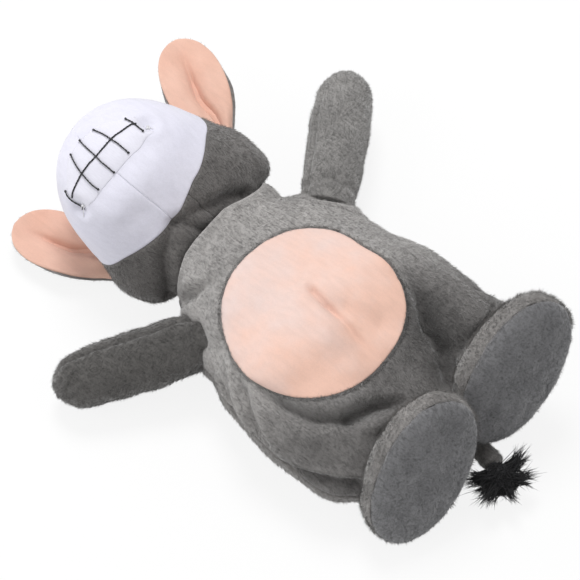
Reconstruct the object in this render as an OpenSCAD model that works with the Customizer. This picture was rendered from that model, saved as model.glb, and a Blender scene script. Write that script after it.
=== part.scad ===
/* [Glove body] */
// Length from the rest point under the belly down to the hem of the hand opening
belly_to_hem = 66; // [56:1:80]
// Length from the rest point under the belly up to the neck seam
belly_to_neck = 66; // [56:1:79]
// Greatest half width of the glove
body_half_w = 72; // [65:1:86]
// Height of the belly above the table
belly_h = 68; // [60:1:82]
// How far the front of the neck is cut back from the back of it
neck_slant = 9; // [6:1:11]
// Thickness of the plush cloth
cloth = 3; // [2.5:0.1:3.6]
// Width of the turned-in hem round the hand opening
hem_w = 12; // [8:1:14]
// Length of the oval belly patch
patch_len = 98; // [80:1:102]
// Angle that the belly patch takes up across the front
patch_span = 92; // [80:1:100]
// How far the glove sags towards the right of the neck
body_sag = 10; // [0:1:12]

/* [Head] */
// Distance from the neck pivot to the seam between head and muzzle
head_len = 49; // [44:1:58]
// Length of the muzzle in front of that seam
muzzle_len = 62; // [54:1:74]
// Greatest half width of the head
head_half_w = 54; // [47:1:60]
// Half height of the head from forehead to throat
head_half_h = 40; // [37:1:46]
// Tilt of the muzzle above the line of the body
head_pitch = 37; // [30:1:42]
// Swing of the muzzle towards the right shoulder
head_yaw = 5; // [0:1:12]
// Turn of the chin towards the right shoulder
head_roll = 10; // [0:1:14]
// Twist of the face round the line of the muzzle
face_twist = 18; // [0:1:22]
// Radius of the ball that closes the head at the neck
neck_r = 19; // [17:0.5:20]
// Radius of the finger pocket in the head
pocket_r = 11; // [9:0.5:11.5]
// Length of the finger pocket in the head
pocket_len = 48; // [40:1:54]
// Radius of each eye
eye_r = 6; // [4.5:0.5:7]
// Angle round the head from the middle of the forehead to an eye
eye_turn = 34; // [28:1:40]
// Angle round the muzzle from the middle of the mouth to its corner
mouth_half = 40; // [34:1:47]
// Reach of the teeth towards the nose
tooth_up = 8; // [6:0.5:9]
// Reach of the teeth towards the chin
tooth_down = 11; // [9:0.5:13]

/* [Ears] */
// Length of an ear from its hinge seam
ear_len = 58; // [52:1:75]
// Greatest half width of an ear
ear_half_w = 18; // [15:1:22]
// Depth of the hollow across an ear
ear_cup = 7; // [4:0.5:9]
// Thickness of each of an ear's two layers
ear_layer = 2.4; // [1.8:0.1:3]
// Angle round the head from the middle of the forehead to the left ear
left_ear_turn = 67; // [58:1:72]
// Angle round the head from the middle of the forehead to the right ear
right_ear_turn = 54; // [50:1:66]
// Place of the ears along the head, as a share of its length
ear_place = 0.83; // [0.74:0.01:0.88]
// Angle of the left ear from the line across the part
left_ear_rise = 60; // [45:1:70]
// Angle of the right ear from the line across the part
right_ear_rise = 73; // [45:1:76]

/* [Arms] */
// Length of an arm from its shoulder seam
arm_len = 87; // [78:1:105]
// Greatest radius of an arm
arm_r = 16; // [15:0.5:19]
// Radius of the finger room in an arm
finger_r = 10; // [8:0.5:11]
// Depth of the finger room in an arm
finger_len = 62; // [50:1:74]
// Angle by which the left arm points up towards the head
left_arm_raise = 32; // [25:1:36]
// Angle by which the right arm points up towards the head
right_arm_raise = 40; // [32:1:43]
// Angle by which the left arm slopes down to the table
left_arm_drop = 1; // [0:1:8]
// Angle by which the right arm slopes down to the table
right_arm_drop = 10; // [4:1:11]
// Angle by which an arm swings up from where it lies
arm_up = 40; // [20:1:45]
// Angle by which an arm swings down from where it lies
arm_down = 15; // [10:1:20]
// Distance of the left shoulder below the neck seam
left_shoulder_down = 17; // [16:1:24]
// Distance of the right shoulder below the neck seam
right_shoulder_down = 24; // [20:1:30]

/* [Feet and tail] */
// Half length of a sole
sole_half_l = 44; // [37:1:50]
// Half width of a sole
sole_half_w = 27; // [23:1:30]
// Depth of a foot from sole to instep
foot_depth = 27; // [23:1:32]
// Lean of the toes towards the left
foot_lean = 38; // [25:1:45]
// Tilt of the soles up from the wrist
foot_tilt = 26; // [15:1:35]
// Turn of the soles towards the right
foot_turn = 24; // [15:1:30]
// Half distance between the middles of the soles
foot_out = 36; // [33:1:42]
// Height of the middle of the right sole above the table
right_foot_h = 40; // [40:1:46]
// Height of the middle of the left sole above the table
left_foot_h = 50; // [46:1:56]
// How far the left foot reaches beyond the right
left_foot_on = 6; // [0:1:9]
// Radius of the rolled seam that carries a leg
leg_r = 6; // [5:0.5:7]
// Length of the tail tube
tail_len = 46; // [40:1:52]
// Radius of the tail tube
tail_r = 4.5; // [4:0.5:5.5]
// Radius of the fur tuft on the tail
tuft_r = 12; // [10:1:14]

/* [Hidden] */

// Gap left between pieces sewn edge to edge
seam_gap = 0.15;
// Clearance between pieces that move on each other
clear = 0.4;
// Depth of the flat that the glove rests on
flat_cut = 1.5;
// Points across half a panel, round a limb, along a panel and round a thread
half_cols = 10;
ring_n = 16;
rows_n = 8;
thread_n = 6;
// Fullness of the glove's section in front and behind, where 2 is an ellipse
front_fullness = 2.3;
back_fullness = 3;

grey = [0.42, 0.41, 0.40];
dark_grey = [0.34, 0.33, 0.33];
peach = [0.96, 0.78, 0.70];
white = [0.93, 0.93, 0.96];
black = [0.08, 0.08, 0.09];
fibre = [0.90, 0.90, 0.86];

function lerp(a, b, t) = a + (b - a) * t;
function unit(v) = v / norm(v);
function bent(c, p) = sign(c) * pow(abs(c), 2 / p);
function middle(ring) = [for (p = ring) 1] * ring / len(ring);

// Slope of a smooth curve at station i of a list of [place, value]
function slope(st, i) =
    let (a = max(i - 1, 0), b = min(i + 1, len(st) - 1))
    (st[b][1] - st[a][1]) / (st[b][0] - st[a][0]);

// Value at x on the smooth curve through the stations
function along(st, x) =
    let (
        k = max([for (i = [0 : len(st) - 2]) st[i][0] <= x ? i : 0]),
        d = st[k + 1][0] - st[k][0],
        t = (x - st[k][0]) / d,
        u = t * t,
        w = t * u
    )
    st[k][1] * (2 * w - 3 * u + 1) + slope(st, k) * d * (w - 2 * u + t)
    + st[k + 1][1] * (3 * u - 2 * w) + slope(st, k + 1) * d * (w - u);

// Triangles of a grid of points, whose columns may close into a ring
function grid_faces(rows, cols, wrap, base, flip) = [
    for (r = [0 : rows - 2], c = [0 : cols - (wrap ? 1 : 2)])
        let (
            a = base + r * cols + c,
            b = base + r * cols + (c + 1) % cols,
            d = a + cols,
            e = b + cols
        )
        each flip ? [[a, b, d], [b, e, d]] : [[a, d, b], [b, d, e]]
];

// Triangles of a strip between two rows of point numbers
function strip_faces(p, q) = [
    for (i = [0 : len(p) - 2]) each [[p[i], p[i + 1], q[i]], [p[i + 1], q[i + 1], q[i]]]
];

// Closed plate between two matching grids of points
module slab(outer, inner, wrap = false) {
    rows = len(outer);
    cols = len(outer[0]);
    n = rows * cols;
    first = [for (c = [0 : cols - (wrap ? 0 : 1)]) c % cols];
    last = [for (c = first) n - cols + c];
    left = [for (r = [0 : rows - 1]) r * cols];
    right = [for (r = left) r + cols - 1];
    over = [for (i = first) i + n];
    polyhedron(
        points = concat([for (r = outer) each r], [for (r = inner) each r]),
        faces = concat(
            grid_faces(rows, cols, wrap, 0, false),
            grid_faces(rows, cols, wrap, n, true),
            strip_faces(first, over),
            strip_faces([for (i = last) i + n], last),
            wrap ? [] : strip_faces([for (i = left) i + n], left),
            wrap ? [] : strip_faces(right, [for (i = right) i + n])
        )
    );
}

// Closed solid through a row of rings, flat across the first and the last
module loft(rings) {
    rows = len(rings);
    cols = len(rings[0]);
    n = rows * cols;
    polyhedron(
        points = concat([for (r = rings) each r], [middle(rings[0]), middle(rings[rows - 1])]),
        faces = concat(
            grid_faces(rows, cols, true, 0, false),
            [for (c = [0 : cols - 1]) [c, (c + 1) % cols, n]],
            [for (c = [0 : cols - 1]) [n - cols + (c + 1) % cols, n - cols + c, n + 1]]
        )
    );
}

// Tube along a path, with a radius for each point
module tube(path, radii, n) {
    last = len(path) - 1;
    loft([for (i = [0 : last])
        let (
            t = unit(path[min(i + 1, last)] - path[max(i - 1, 0)]),
            side = unit(cross(t, abs(t[2]) < 0.9 ? [0, 0, 1] : [1, 0, 0])),
            up = cross(side, t)
        )
        [for (k = [0 : n - 1])
            path[i] + radii[i] * (cos(360 * k / n) * side - sin(360 * k / n) * up)]
    ]);
}

// Glove body

body_len = belly_to_hem + belly_to_neck;
// How much wider than high the neck opening is, to each side
neck_spread = 20;
// Share of the length from which the back lifts off the table towards the neck
lift_from = 0.85;
neck_half_h = neck_r + clear + cloth;
neck_half_w = neck_half_h + neck_spread;

function body_w(v) = along([
    [0, body_half_w - 1],
    [0.25, body_half_w],
    [0.5, body_half_w - 3],
    [0.72, body_half_w - 8],
    [0.9, lerp(neck_half_w, body_half_w, 0.4)],
    [1, neck_half_w]
], v);
function body_top(v) = along([
    [0, belly_h - 16],
    [0.25, belly_h - 5],
    [0.48, belly_h],
    [0.72, belly_h - 10],
    [0.9, lerp(2 * neck_half_h, belly_h, 0.36)],
    [1, 2 * neck_half_h]
], v);
// Sideways sag of the glove's middle line
function body_x(v) = along([
    [0, -body_sag],
    [0.3, -body_sag],
    [0.5, -0.8 * body_sag],
    [0.78, 0],
    [1, 0]
], v);
function body_bottom(v) = -flat_cut * min(1, (1 - v) / (1 - lift_from));

// Point on the glove at an angle from the left side seam and a share of the length
function body_pt(u, v, inset = 0) =
    let (
        top = body_top(v),
        bottom = body_bottom(v),
        b = (top - bottom) / 2 - inset,
        p = sin(u) > 0 ? front_fullness : back_fullness,
        y = v * (body_len - neck_slant * (1 + sin(u)) / 2) - belly_to_hem
    )
    [
        body_x(v) + (body_w(v) - inset) * bent(cos(u), front_fullness),
        y,
        max(inset, (top + bottom) / 2 + b * bent(sin(u), p))
    ];

// Belly oval and the border of the front panel, in angle and share of the length
patch_turn = 94;
patch_mid = [patch_turn, belly_to_hem / (body_len - neck_slant)];
patch_size = [patch_span / 2, patch_len / 2 / (body_len - neck_slant)];
side_edge = 0.1;
border = concat(
    [for (i = [0 : half_cols - 1]) [lerp(side_edge, 180 - side_edge, i / half_cols), 0]],
    [for (i = [0 : rows_n - 1]) [180 - side_edge, i / rows_n]],
    [for (i = [0 : half_cols - 1]) [lerp(180 - side_edge, side_edge, i / half_cols), 1]],
    [for (i = [0 : rows_n - 1]) [side_edge, 1 - i / rows_n]]
);
function oval(p, share) =
    let (
        d = [(p[0] - patch_mid[0]) / patch_size[0], (p[1] - patch_mid[1]) / patch_size[1]],
        k = share / norm(d)
    )
    [patch_mid[0] + k * d[0] * patch_size[0], patch_mid[1] + k * d[1] * patch_size[1]];
function front_rings(inset) = [
    for (k = [0 : 0.25 : 1])
        [for (p = border) let (q = lerp(oval(p, 1), p, k)) body_pt(q[0], q[1], inset)]
];

arm_cloth = 3.5;
root_r = finger_r + arm_cloth;
// Place of a shoulder, as if on the left
function shoulder(side) =
    let (
        v = 1 - (side > 0 ? left_shoulder_down : right_shoulder_down) / body_len,
        p = body_pt(0, v)
    )
    [body_w(v) - cloth, p[1], p[2] + 1];

// Frame of an arm, with its length along +Z
module in_arm(side) {
    mirror([side > 0 ? 0 : 1, 0, 0])
        translate(shoulder(side))
            rotate([
                0,
                90 + (side > 0 ? left_arm_drop : right_arm_drop),
                side > 0 ? left_arm_raise : right_arm_raise
            ])
                children();
}

// Holes that let each arm swing through its travel
module armholes() {
    for (side = [1, -1], swing = [-arm_down, 0, arm_up])
        in_arm(side)
            rotate([0, -swing, 0])
                cylinder(r = root_r + clear, h = 4 * root_r, center = true, $fn = 48);
}

module body_front() {
    color(grey)
        difference() {
            slab(front_rings(0), front_rings(cloth), true);
            armholes();
        }
}

module body_back() {
    rows = function (inset) [
        for (i = [0 : rows_n])
            [for (c = [0 : half_cols]) body_pt(360 - 180 * c / half_cols, i / rows_n, inset)]
    ];
    color(dark_grey)
        difference() {
            slab(rows(0), rows(cloth));
            armholes();
        }
}

module belly_patch() {
    rings = function (inset, shares) [
        for (s = shares) [for (p = border) let (q = oval(p, s)) body_pt(q[0], q[1], inset)]
    ];
    edge = 1 - 2 * seam_gap / patch_len;
    color(peach)
        loft(concat(
            rings(0, [0.05, 0.35, 0.7, edge]),
            rings(cloth, [edge, 0.7, 0.35, 0.05])
        ));
}

// Room left inside the glove for the turned-in hem
hem_gap = 2;

module hem_band() {
    inset = cloth + hem_gap;
    rows = function (d) [
        for (v = [0, hem_w / body_len / 2, hem_w / body_len])
            [for (c = [0 : 2 * half_cols - 1]) body_pt(-180 * c / half_cols, v, d)]
    ];
    color(dark_grey)
        slab(rows(inset), rows(inset + cloth / 2), true);
}

// Head

neck = [2, belly_to_neck - 2, neck_half_h];
waist_angle = 115;
waist_y = -neck_r * cos(waist_angle);
waist_r = neck_r * sin(waist_angle);
tip_y = head_len + muzzle_len;

function head_at(t) = lerp(waist_y, head_len, t);
function muzzle_at(t) = lerp(head_len, tip_y, t);
function ball(y) = sqrt(max(neck_r * neck_r - y * y, 0.01));

function head_w(y) = y < waist_y ? ball(y) : along([
    [waist_y, waist_r],
    [head_at(0.08), 0.66 * head_half_w],
    [head_at(0.2), 0.88 * head_half_w],
    [head_at(0.42), 0.98 * head_half_w],
    [head_at(0.7), head_half_w],
    [head_at(1), 0.92 * head_half_w],
    [muzzle_at(0.2), 0.86 * head_half_w],
    [muzzle_at(0.44), 0.79 * head_half_w],
    [muzzle_at(0.64), 0.7 * head_half_w],
    [muzzle_at(0.8), 0.56 * head_half_w],
    [muzzle_at(0.92), 0.37 * head_half_w],
    [muzzle_at(0.98), 0.18 * head_half_w],
    [tip_y, 0.02 * head_half_w]
], y);

// Reach of the head on its throat side and on its forehead side
function throat_h(y) = y < waist_y ? ball(y) : along([
    [waist_y, waist_r],
    [head_at(0.2), 0.44 * head_half_h],
    [head_at(0.42), 0.54 * head_half_h],
    [head_at(0.7), 0.63 * head_half_h],
    [head_at(1), 0.66 * head_half_h],
    [muzzle_at(0.2), 0.68 * head_half_h],
    [muzzle_at(0.44), 0.65 * head_half_h],
    [muzzle_at(0.64), 0.53 * head_half_h],
    [muzzle_at(0.8), 0.32 * head_half_h],
    [muzzle_at(0.92), 0.04 * head_half_h],
    [muzzle_at(0.98), -0.18 * head_half_h],
    [tip_y, -0.31 * head_half_h]
], y);
function forehead_h(y) = y < 0 ? ball(y) : along([
    [0, neck_r],
    [waist_y, 0.66 * head_half_h],
    [head_at(0.2), 0.84 * head_half_h],
    [head_at(0.42), 1.05 * head_half_h],
    [head_at(0.7), 1.33 * head_half_h],
    [head_at(1), 1.35 * head_half_h],
    [muzzle_at(0.2), 1.3 * head_half_h],
    [muzzle_at(0.44), 1.2 * head_half_h],
    [muzzle_at(0.64), 1.06 * head_half_h],
    [muzzle_at(0.8), 0.88 * head_half_h],
    [muzzle_at(0.92), 0.65 * head_half_h],
    [muzzle_at(0.98), 0.47 * head_half_h],
    [tip_y, 0.35 * head_half_h]
], y);

// Point on the head in its own frame, where the muzzle points along +Y
function head_pt(u, y, inset = 0) =
    let (
        a = max(head_w(y) - inset, 0.3),
        up = throat_h(y),
        down = forehead_h(y),
        b = max((up + down) / 2 - inset, 0.3)
    )
    [a * cos(u), y, (up - down) / 2 + b * sin(u)];
function head_normal(u, y) =
    unit(cross(head_pt(u, y + 1) - head_pt(u, y - 1), head_pt(u + 1, y) - head_pt(u - 1, y)));

module in_head() {
    translate(neck) rotate([0, 0, head_yaw]) rotate([head_pitch, -head_roll, 0]) children();
}

// Frame on the head's skin, with +Z outwards
module on_head(u, y, lift = 0) {
    n = head_normal(u, y);
    translate(head_pt(u, y) + lift * n)
        rotate([0, acos(n[2]), atan2(n[1], n[0])])
            children();
}

ball_rows = [for (t = [20 : 23.75 : waist_angle]) -neck_r * cos(t)];
head_rows = concat(ball_rows, [for (i = [1 : 7]) lerp(waist_y, head_len - seam_gap, i / 7)]);
muzzle_rows = [
    for (t = [0, 0.15, 0.3, 0.45, 0.58, 0.7, 0.8, 0.88, 0.94, 0.98, 1])
        lerp(head_len + seam_gap, tip_y, t)
];
// Angle left open at the seams along the middle of the face and throat
middle_edge = 0.2;
pocket_cloth = 1.5;
pocket_back = sqrt(neck_r * neck_r - pow(pocket_r + pocket_cloth, 2));

// Half of a head panel between two rows of places, on the left or the right
module half_panel(rows, side, twist = 0) {
    from = side * 180 - 90 + middle_edge + twist;
    span = 180 - 2 * middle_edge;
    grid = function (inset) [
        for (y = rows)
            [for (c = [0 : half_cols]) head_pt(from + span * (1 - c / half_cols), y, inset)]
    ];
    slab(grid(0), grid(cloth));
}

// Room for the finger pocket, along the line of the body
module pocket_room(r) {
    translate(neck)
        rotate([-90, 0, 0])
            translate([0, 0, -2 * neck_r])
                cylinder(r = r, h = 2 * neck_r - pocket_back + pocket_len + r - pocket_r, $fn = 48);
}

eye_y = head_at(0.92);
stem_r = 1.6;
washer_r = 4;
washer_t = 1;

// Frame of the left or the right eye
module at_eye(side) {
    in_head() on_head(270 + side * eye_turn, eye_y) children();
}

module stem_hole(side, r, depth) {
    at_eye(side)
        translate([0, 0, -depth])
            cylinder(r = r, h = depth + eye_r, $fn = 32);
}

module head_panel(side) {
    color(grey)
        difference() {
            in_head() half_panel(head_rows, side > 0 ? 0 : 1);
            pocket_room(pocket_r + pocket_cloth + seam_gap);
            stem_hole(side, stem_r + seam_gap, 3 * cloth);
        }
}
module head_left_panel() head_panel(1);
module head_right_panel() head_panel(-1);

// Rings of the filling inside the cloth, at a row of places
function filling_rings(rows, twist = 0) = [
    for (y = rows)
        [for (c = [0 : 2 * half_cols - 1])
            head_pt(90 + twist - 180 * c / half_cols, y, cloth + 2 * seam_gap)]
];

module head_filling() {
    color(fibre)
        difference() {
            in_head() loft(filling_rings([for (y = head_rows) if (y > 0) y]));
            pocket_room(pocket_r + pocket_cloth + seam_gap);
            for (side = [-1, 1])
                stem_hole(side, washer_r + clear, 3 * cloth);
        }
}

module finger_pocket() {
    outer = pocket_r + pocket_cloth;
    color(dark_grey)
        translate(neck)
            rotate([-90, 0, 0])
                translate([0, 0, -pocket_back])
                    rotate_extrude($fn = 48)
                        polygon([
                            [pocket_r, 0],
                            [outer, 0],
                            [outer, pocket_len],
                            [0, pocket_len],
                            [0, pocket_len - pocket_cloth],
                            [pocket_r, pocket_len - pocket_cloth]
                        ]);
}

// Angles between which the knit ring at the neck lies behind the ball, and its thickness
collar_from = 42;
collar_to = 56;
collar_t = 3;

module neck_collar() {
    arc = function (r, from, to) [
        for (i = [0 : 4]) let (t = lerp(from, to, i / 4)) [r * sin(t), r * cos(t)]
    ];
    color(dark_grey)
        translate(neck)
            rotate([90, 0, 0])
                rotate_extrude($fn = 64)
                    polygon(concat(
                        arc(neck_r + clear, collar_from, collar_to),
                        arc(neck_r + clear + collar_t, collar_to, collar_from)
                    ));
}

module muzzle_panel(side) {
    color(white)
        in_head() half_panel(muzzle_rows, side, face_twist);
}
module muzzle_left_panel() muzzle_panel(0);
module muzzle_right_panel() muzzle_panel(1);

module muzzle_filling() {
    color(fibre)
        in_head()
            loft(filling_rings([for (y = muzzle_rows) if (y < tip_y - 2 * cloth) y], face_twist));
}

// Mouth: the grin runs round the muzzle, drawn back towards its corners
mouth_y = muzzle_at(0.82);
mouth_drawn = 8;
tooth_end = 1.5;
// Share by which the tooth lines spread per millimetre towards the nose
tooth_spread = 0.025;
patch_t = 1;
patch_lift = 1;
thread_r = 0.6;
thread_gap = 1;
tooth_angles = [for (s = [-0.9, -0.45, 0, 0.45, 0.9]) s * mouth_half];
function grin_y(a) = mouth_y - mouth_drawn * pow(a / mouth_half, 2);
function grin_pt(a, dy, lift) = head_pt(90 + face_twist + a, grin_y(a) + dy, -lift);

module mouth_patch() {
    half = mouth_half + 5;
    grid = function (lift) [
        for (t = [0, 1 / 3, 2 / 3, 1])
            [for (c = [0 : 12]) grin_pt(half - half * c / 6, lerp(-tooth_down, tooth_up, t), lift)]
    ];
    color(white)
        in_head() slab(grid(patch_lift + patch_t), grid(patch_lift));
}

thread_lift = patch_lift + patch_t + thread_gap + thread_r;

module grin_stitch() {
    path = [for (i = [0 : 24]) grin_pt(lerp(-mouth_half, mouth_half, i / 24), 0, thread_lift)];
    color(black)
        in_head() tube(path, [for (p = path) thread_r], thread_n);
}

function tooth_pt(a, dy, lift) =
    head_pt(90 + face_twist + a * (1 + tooth_spread * dy), grin_y(a) + dy, -lift);

module tooth_stitches() {
    lift = thread_lift + 2 * thread_r + thread_gap;
    color(black)
        in_head()
            for (a = tooth_angles) {
                path = [
                    for (i = [0 : 6])
                        let (dy = lerp(tooth_end - tooth_down, tooth_up - tooth_end, i / 6))
                        tooth_pt(a, dy, lift)
                ];
                tube(path, [for (p = path) thread_r], thread_n);
            }
}

knot_r = 1.5;
knot_turn = mouth_half + 3.5;
knot_lift = patch_lift + patch_t + 2 * seam_gap + knot_r;

module mouth_corner_knots() {
    color(white)
        in_head()
            for (side = [-1, 1])
                translate(grin_pt(side * knot_turn, 0, knot_lift))
                    sphere(r = knot_r, $fn = 24);
}

nostril_r = 3.4;
nostril_u = 38;

module nostril_stitches() {
    color(dark_grey)
        in_head()
            for (side = [-1, 1])
                on_head(270 + face_twist + side * nostril_u, muzzle_at(0.82), 2 * seam_gap)
                    cylinder(r1 = nostril_r, r2 = nostril_r - 0.6, h = 0.9, $fn = 32);
}

module eye(side) {
    rise = 0.6 * eye_r;
    dome_r = (eye_r * eye_r + rise * rise) / 2 / rise;
    arc = asin(eye_r / dome_r);
    color(black)
        at_eye(side)
            translate([0, 0, 2 * seam_gap])
                rotate_extrude($fn = 48)
                    polygon(concat(
                        [[0, -2 * cloth], [stem_r, -2 * cloth], [stem_r, 0], [eye_r, 0]],
                        [for (i = [1 : 8])
                            let (t = arc * (1 - i / 8))
                            [dome_r * sin(t), dome_r * cos(t) - dome_r + rise]]
                    ));
}
module left_eye() eye(1);
module right_eye() eye(-1);

module eye_washers() {
    color(fibre)
        for (side = [-1, 1])
            at_eye(side)
                translate([0, 0, -cloth - 6 * seam_gap - washer_t])
                    difference() {
                        cylinder(r = washer_r, h = washer_t, $fn = 32);
                        translate([0, 0, -washer_t])
                            cylinder(r = stem_r + seam_gap, h = 3 * washer_t, $fn = 32);
                    }
}

module forelock() {
    radii = [2.5, 4.2, 4.6, 4, 2.8, 1];
    path = [
        for (i = [0 : len(radii) - 1])
            let (y = lerp(head_at(0.9), muzzle_at(0.3), i / (len(radii) - 1)))
            head_pt(270 + face_twist, y, -radii[i] - 2 * seam_gap)
    ];
    color(black)
        in_head() tube(path, radii, 10);
}

// Ears

ear_y = head_at(ear_place);
ear_root_w = 9;
left_ear_gap = 1.1;
right_ear_gap = 4;
ear_crease = 2;
ear_n = 7;

function ear_w(t) = along([
    [0, ear_root_w],
    [0.2, 0.72 * ear_half_w],
    [0.45, ear_half_w],
    [0.7, 0.93 * ear_half_w],
    [0.88, 0.66 * ear_half_w],
    [0.97, 0.3 * ear_half_w],
    [1, 0.06 * ear_half_w]
], t);

// Depth of the hollow and of the crease at a share of the width
function ear_z(t, s) =
    ear_cup * (s * s - 0.5) * min(1, t * 3) * (1 - 0.6 * t)
    - ear_crease * exp(-25 * s * s) * (1 - t);
function ear_pt(t, s, z) = [s * ear_w(t), ear_len * t, ear_z(t, s) + z];

// Frame at the root seam of an ear, which lies out along the table
module in_ear(side) {
    translate(ear_root(side))
        rotate([0, 0, side > 0 ? left_ear_rise - 90 : 90 - right_ear_rise])
            children();
}

// Turn of a point from the head's frame to the part's frame
function turn_x(p, a) = [p[0], p[1] * cos(a) - p[2] * sin(a), p[1] * sin(a) + p[2] * cos(a)];
function turn_y(p, a) = [p[0] * cos(a) + p[2] * sin(a), p[1], p[2] * cos(a) - p[0] * sin(a)];
function turn_z(p, a) = [p[0] * cos(a) - p[1] * sin(a), p[0] * sin(a) + p[1] * cos(a), p[2]];
function out_of_head(p) = neck + turn_z(turn_y(turn_x(p, head_pitch), -head_roll), head_yaw);
// Root of an ear beside the head, no lower than lets the ear lie on the table
ear_rest = ear_layer + ear_cup / 2 + ear_crease;
function ear_root(side) =
    let (
        u = 270 + (side > 0 ? left_ear_turn : -right_ear_turn),
        gap = clear + (side > 0 ? left_ear_gap : right_ear_gap),
        p = out_of_head(head_pt(u, ear_y, -ear_layer - gap))
    )
    [p[0], p[1], max(p[2], ear_rest)];

module ear_leaf(side, z) {
    grid = function (h) [
        for (i = [0 : ear_n])
            [for (c = [0 : ear_n]) ear_pt(i / ear_n, 2 * c / ear_n - 1, h)]
    ];
    in_ear(side) slab(grid(z + ear_layer), grid(z));
}

module left_ear_back() color(grey) ear_leaf(1, -ear_layer - seam_gap);
module left_ear_lining() color(peach) ear_leaf(1, 0);
module right_ear_back() color(grey) ear_leaf(-1, -ear_layer - seam_gap);
module right_ear_lining() color(peach) ear_leaf(-1, 0);

// Arms

function arm_w(x) = along([
    [0, root_r],
    [0.12 * arm_len, root_r],
    [0.4 * arm_len, arm_r - 0.6],
    [0.62 * arm_len, arm_r],
    [arm_len - 0.8 * arm_r, 0.86 * arm_r],
    [arm_len - 0.35 * arm_r, 0.62 * arm_r],
    [arm_len - 0.08 * arm_r, 0.28 * arm_r],
    [arm_len, 0]
], x);
arm_mouth = root_r / 2;

module arm(side) {
    outer = [
        for (i = [0 : 4])
            let (t = lerp(-asin(arm_mouth / root_r), 0, i / 4))
            root_r * [cos(t), sin(t)]
    ];
    limb = [for (i = [1 : 20]) let (x = arm_len * sqrt(1 - pow(1 - i / 20, 2))) [arm_w(x), x]];
    tip = [
        for (i = [0 : 6])
            let (t = 90 - 15 * i)
            [finger_r * cos(t), finger_len - finger_r + finger_r * sin(t)]
    ];
    color(grey)
        in_arm(side)
            rotate_extrude($fn = 48)
                polygon(concat(outer, limb, tip, [[finger_r, -arm_mouth]]));
}
module left_arm() arm(1);
module right_arm() arm(-1);

// Feet

foot_shift = -8;
leg_y = -belly_to_hem - leg_r - clear;
sole_t = 2.5;
sole_round = 0.8;
sole_fullness = 2.2;
// How far the instep is drawn towards the heel
instep_pull = 8;

function foot_place(side) = [
    foot_shift + side * foot_out,
    leg_y - foot_depth - (side > 0 ? left_foot_on : 0),
    side > 0 ? left_foot_h : right_foot_h
];

// Frame of a foot, with its sole facing -Y and its toes along +Z
module in_foot(side) {
    translate(foot_place(side))
        rotate([0, 0, -foot_turn])
            rotate([-foot_tilt, 0, 0])
                rotate([0, foot_lean, 0])
                    children();
}

// Ring of a foot at a depth from the sole, drawn in and pulled to the heel at the instep
function foot_grow(t) = along([
    [0, 0.95], [0.12, 1], [0.4, 0.98], [0.65, 0.82], [0.85, 0.55], [0.96, 0.26], [1, 0.05]
], t);
function foot_ring(t, inset) =
    let (
        k = foot_grow(t),
        a = max(k * sole_half_w - inset, 0.4),
        b = max(k * sole_half_l - inset, 0.6)
    )
    [for (c = [0 : ring_n - 1])
        let (u = 360 * c / ring_n)
        [a * cos(u), t * foot_depth - inset * t, b * bent(sin(u), sole_fullness) - instep_pull * t * t]];
foot_rows = [0, 0.1, 0.35, 0.58, 0.76, 0.89, 0.97, 1];

module foot_outer(grow = 0) {
    loft([for (i = [len(foot_rows) - 1 : -1 : 0]) foot_ring(foot_rows[i], -grow)]);
}

module foot_upper(side) {
    color(grey)
        in_foot(side)
            loft(concat(
                [for (i = [len(foot_rows) - 1 : -1 : 0]) foot_ring(foot_rows[i], 0)],
                [for (t = foot_rows) foot_ring(t, cloth)]
            ));
}

module foot_filling(side) {
    color(fibre)
        in_foot(side)
            loft([for (i = [len(foot_rows) - 1 : -1 : 1]) foot_ring(foot_rows[i], cloth + seam_gap)]);
}

module sole(side) {
    color(dark_grey)
        in_foot(side)
            loft([
                for (r = [
                    [-seam_gap, 1.5 * sole_round],
                    [-sole_round, 0],
                    [-sole_t + sole_round, 0],
                    [-sole_t, 2 * sole_round]
                ])
                    [for (p = foot_ring(0, r[1])) [p[0], r[0], p[2]]]
            ]);
}

module left_foot_upper() foot_upper(1);
module left_foot_filling() foot_filling(1);
module left_sole() sole(1);
module right_foot_upper() foot_upper(-1);
module right_foot_filling() foot_filling(-1);
module right_sole() sole(-1);

// Legs: each hangs from a rolled seam along the front edge of the hem
function hip(u) =
    let (p = body_pt(u, 0, cloth / 2))
    [p[0], leg_y, p[2] - 1];
// Angles round the hem between which each leg is sewn on
left_hip = [28, 68];
right_hip = [100, 138];
// Half sizes of the leg's end in the instep, and its place as a share of the depth
leg_pad = [15, 8, 20];
leg_in = 0.72;

module leg(side) {
    color(grey)
        difference() {
            hull() {
                for (u = side > 0 ? left_hip : right_hip)
                    translate(hip(u)) sphere(r = leg_r, $fn = 12);
                in_foot(side)
                    translate([0, leg_in * foot_depth, -2])
                        scale(leg_pad) sphere(r = 1, $fn = 12);
            }
            in_foot(side) foot_outer(seam_gap);
        }
}
module left_leg() leg(1);
module right_leg() leg(-1);

// Tail

tail_root = [-3, -belly_to_hem - clear - tail_r, tail_r + 0.3];
tail_path = [
    for (p = [[0, 0, 0], [1, 0.35, 0], [2, 0.7, 0.5], [-2, 1, 5.5]])
        tail_root + [p[0], -p[1] * tail_len, p[2]]
];
tuft_dir = unit([-0.36, -0.9, 0.3]);
tuft_len = 2.2 * tuft_r;

module tail_tube() {
    round_end = [for (t = [20, 45, 70]) t];
    path = concat([for (t = round_end) tail_root + [0, tail_r * cos(t), 0]], tail_path);
    radii = concat([for (t = round_end) tail_r * sin(t)], [for (p = tail_path) tail_r]);
    color(grey)
        tube(path, radii, 14);
}

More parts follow.
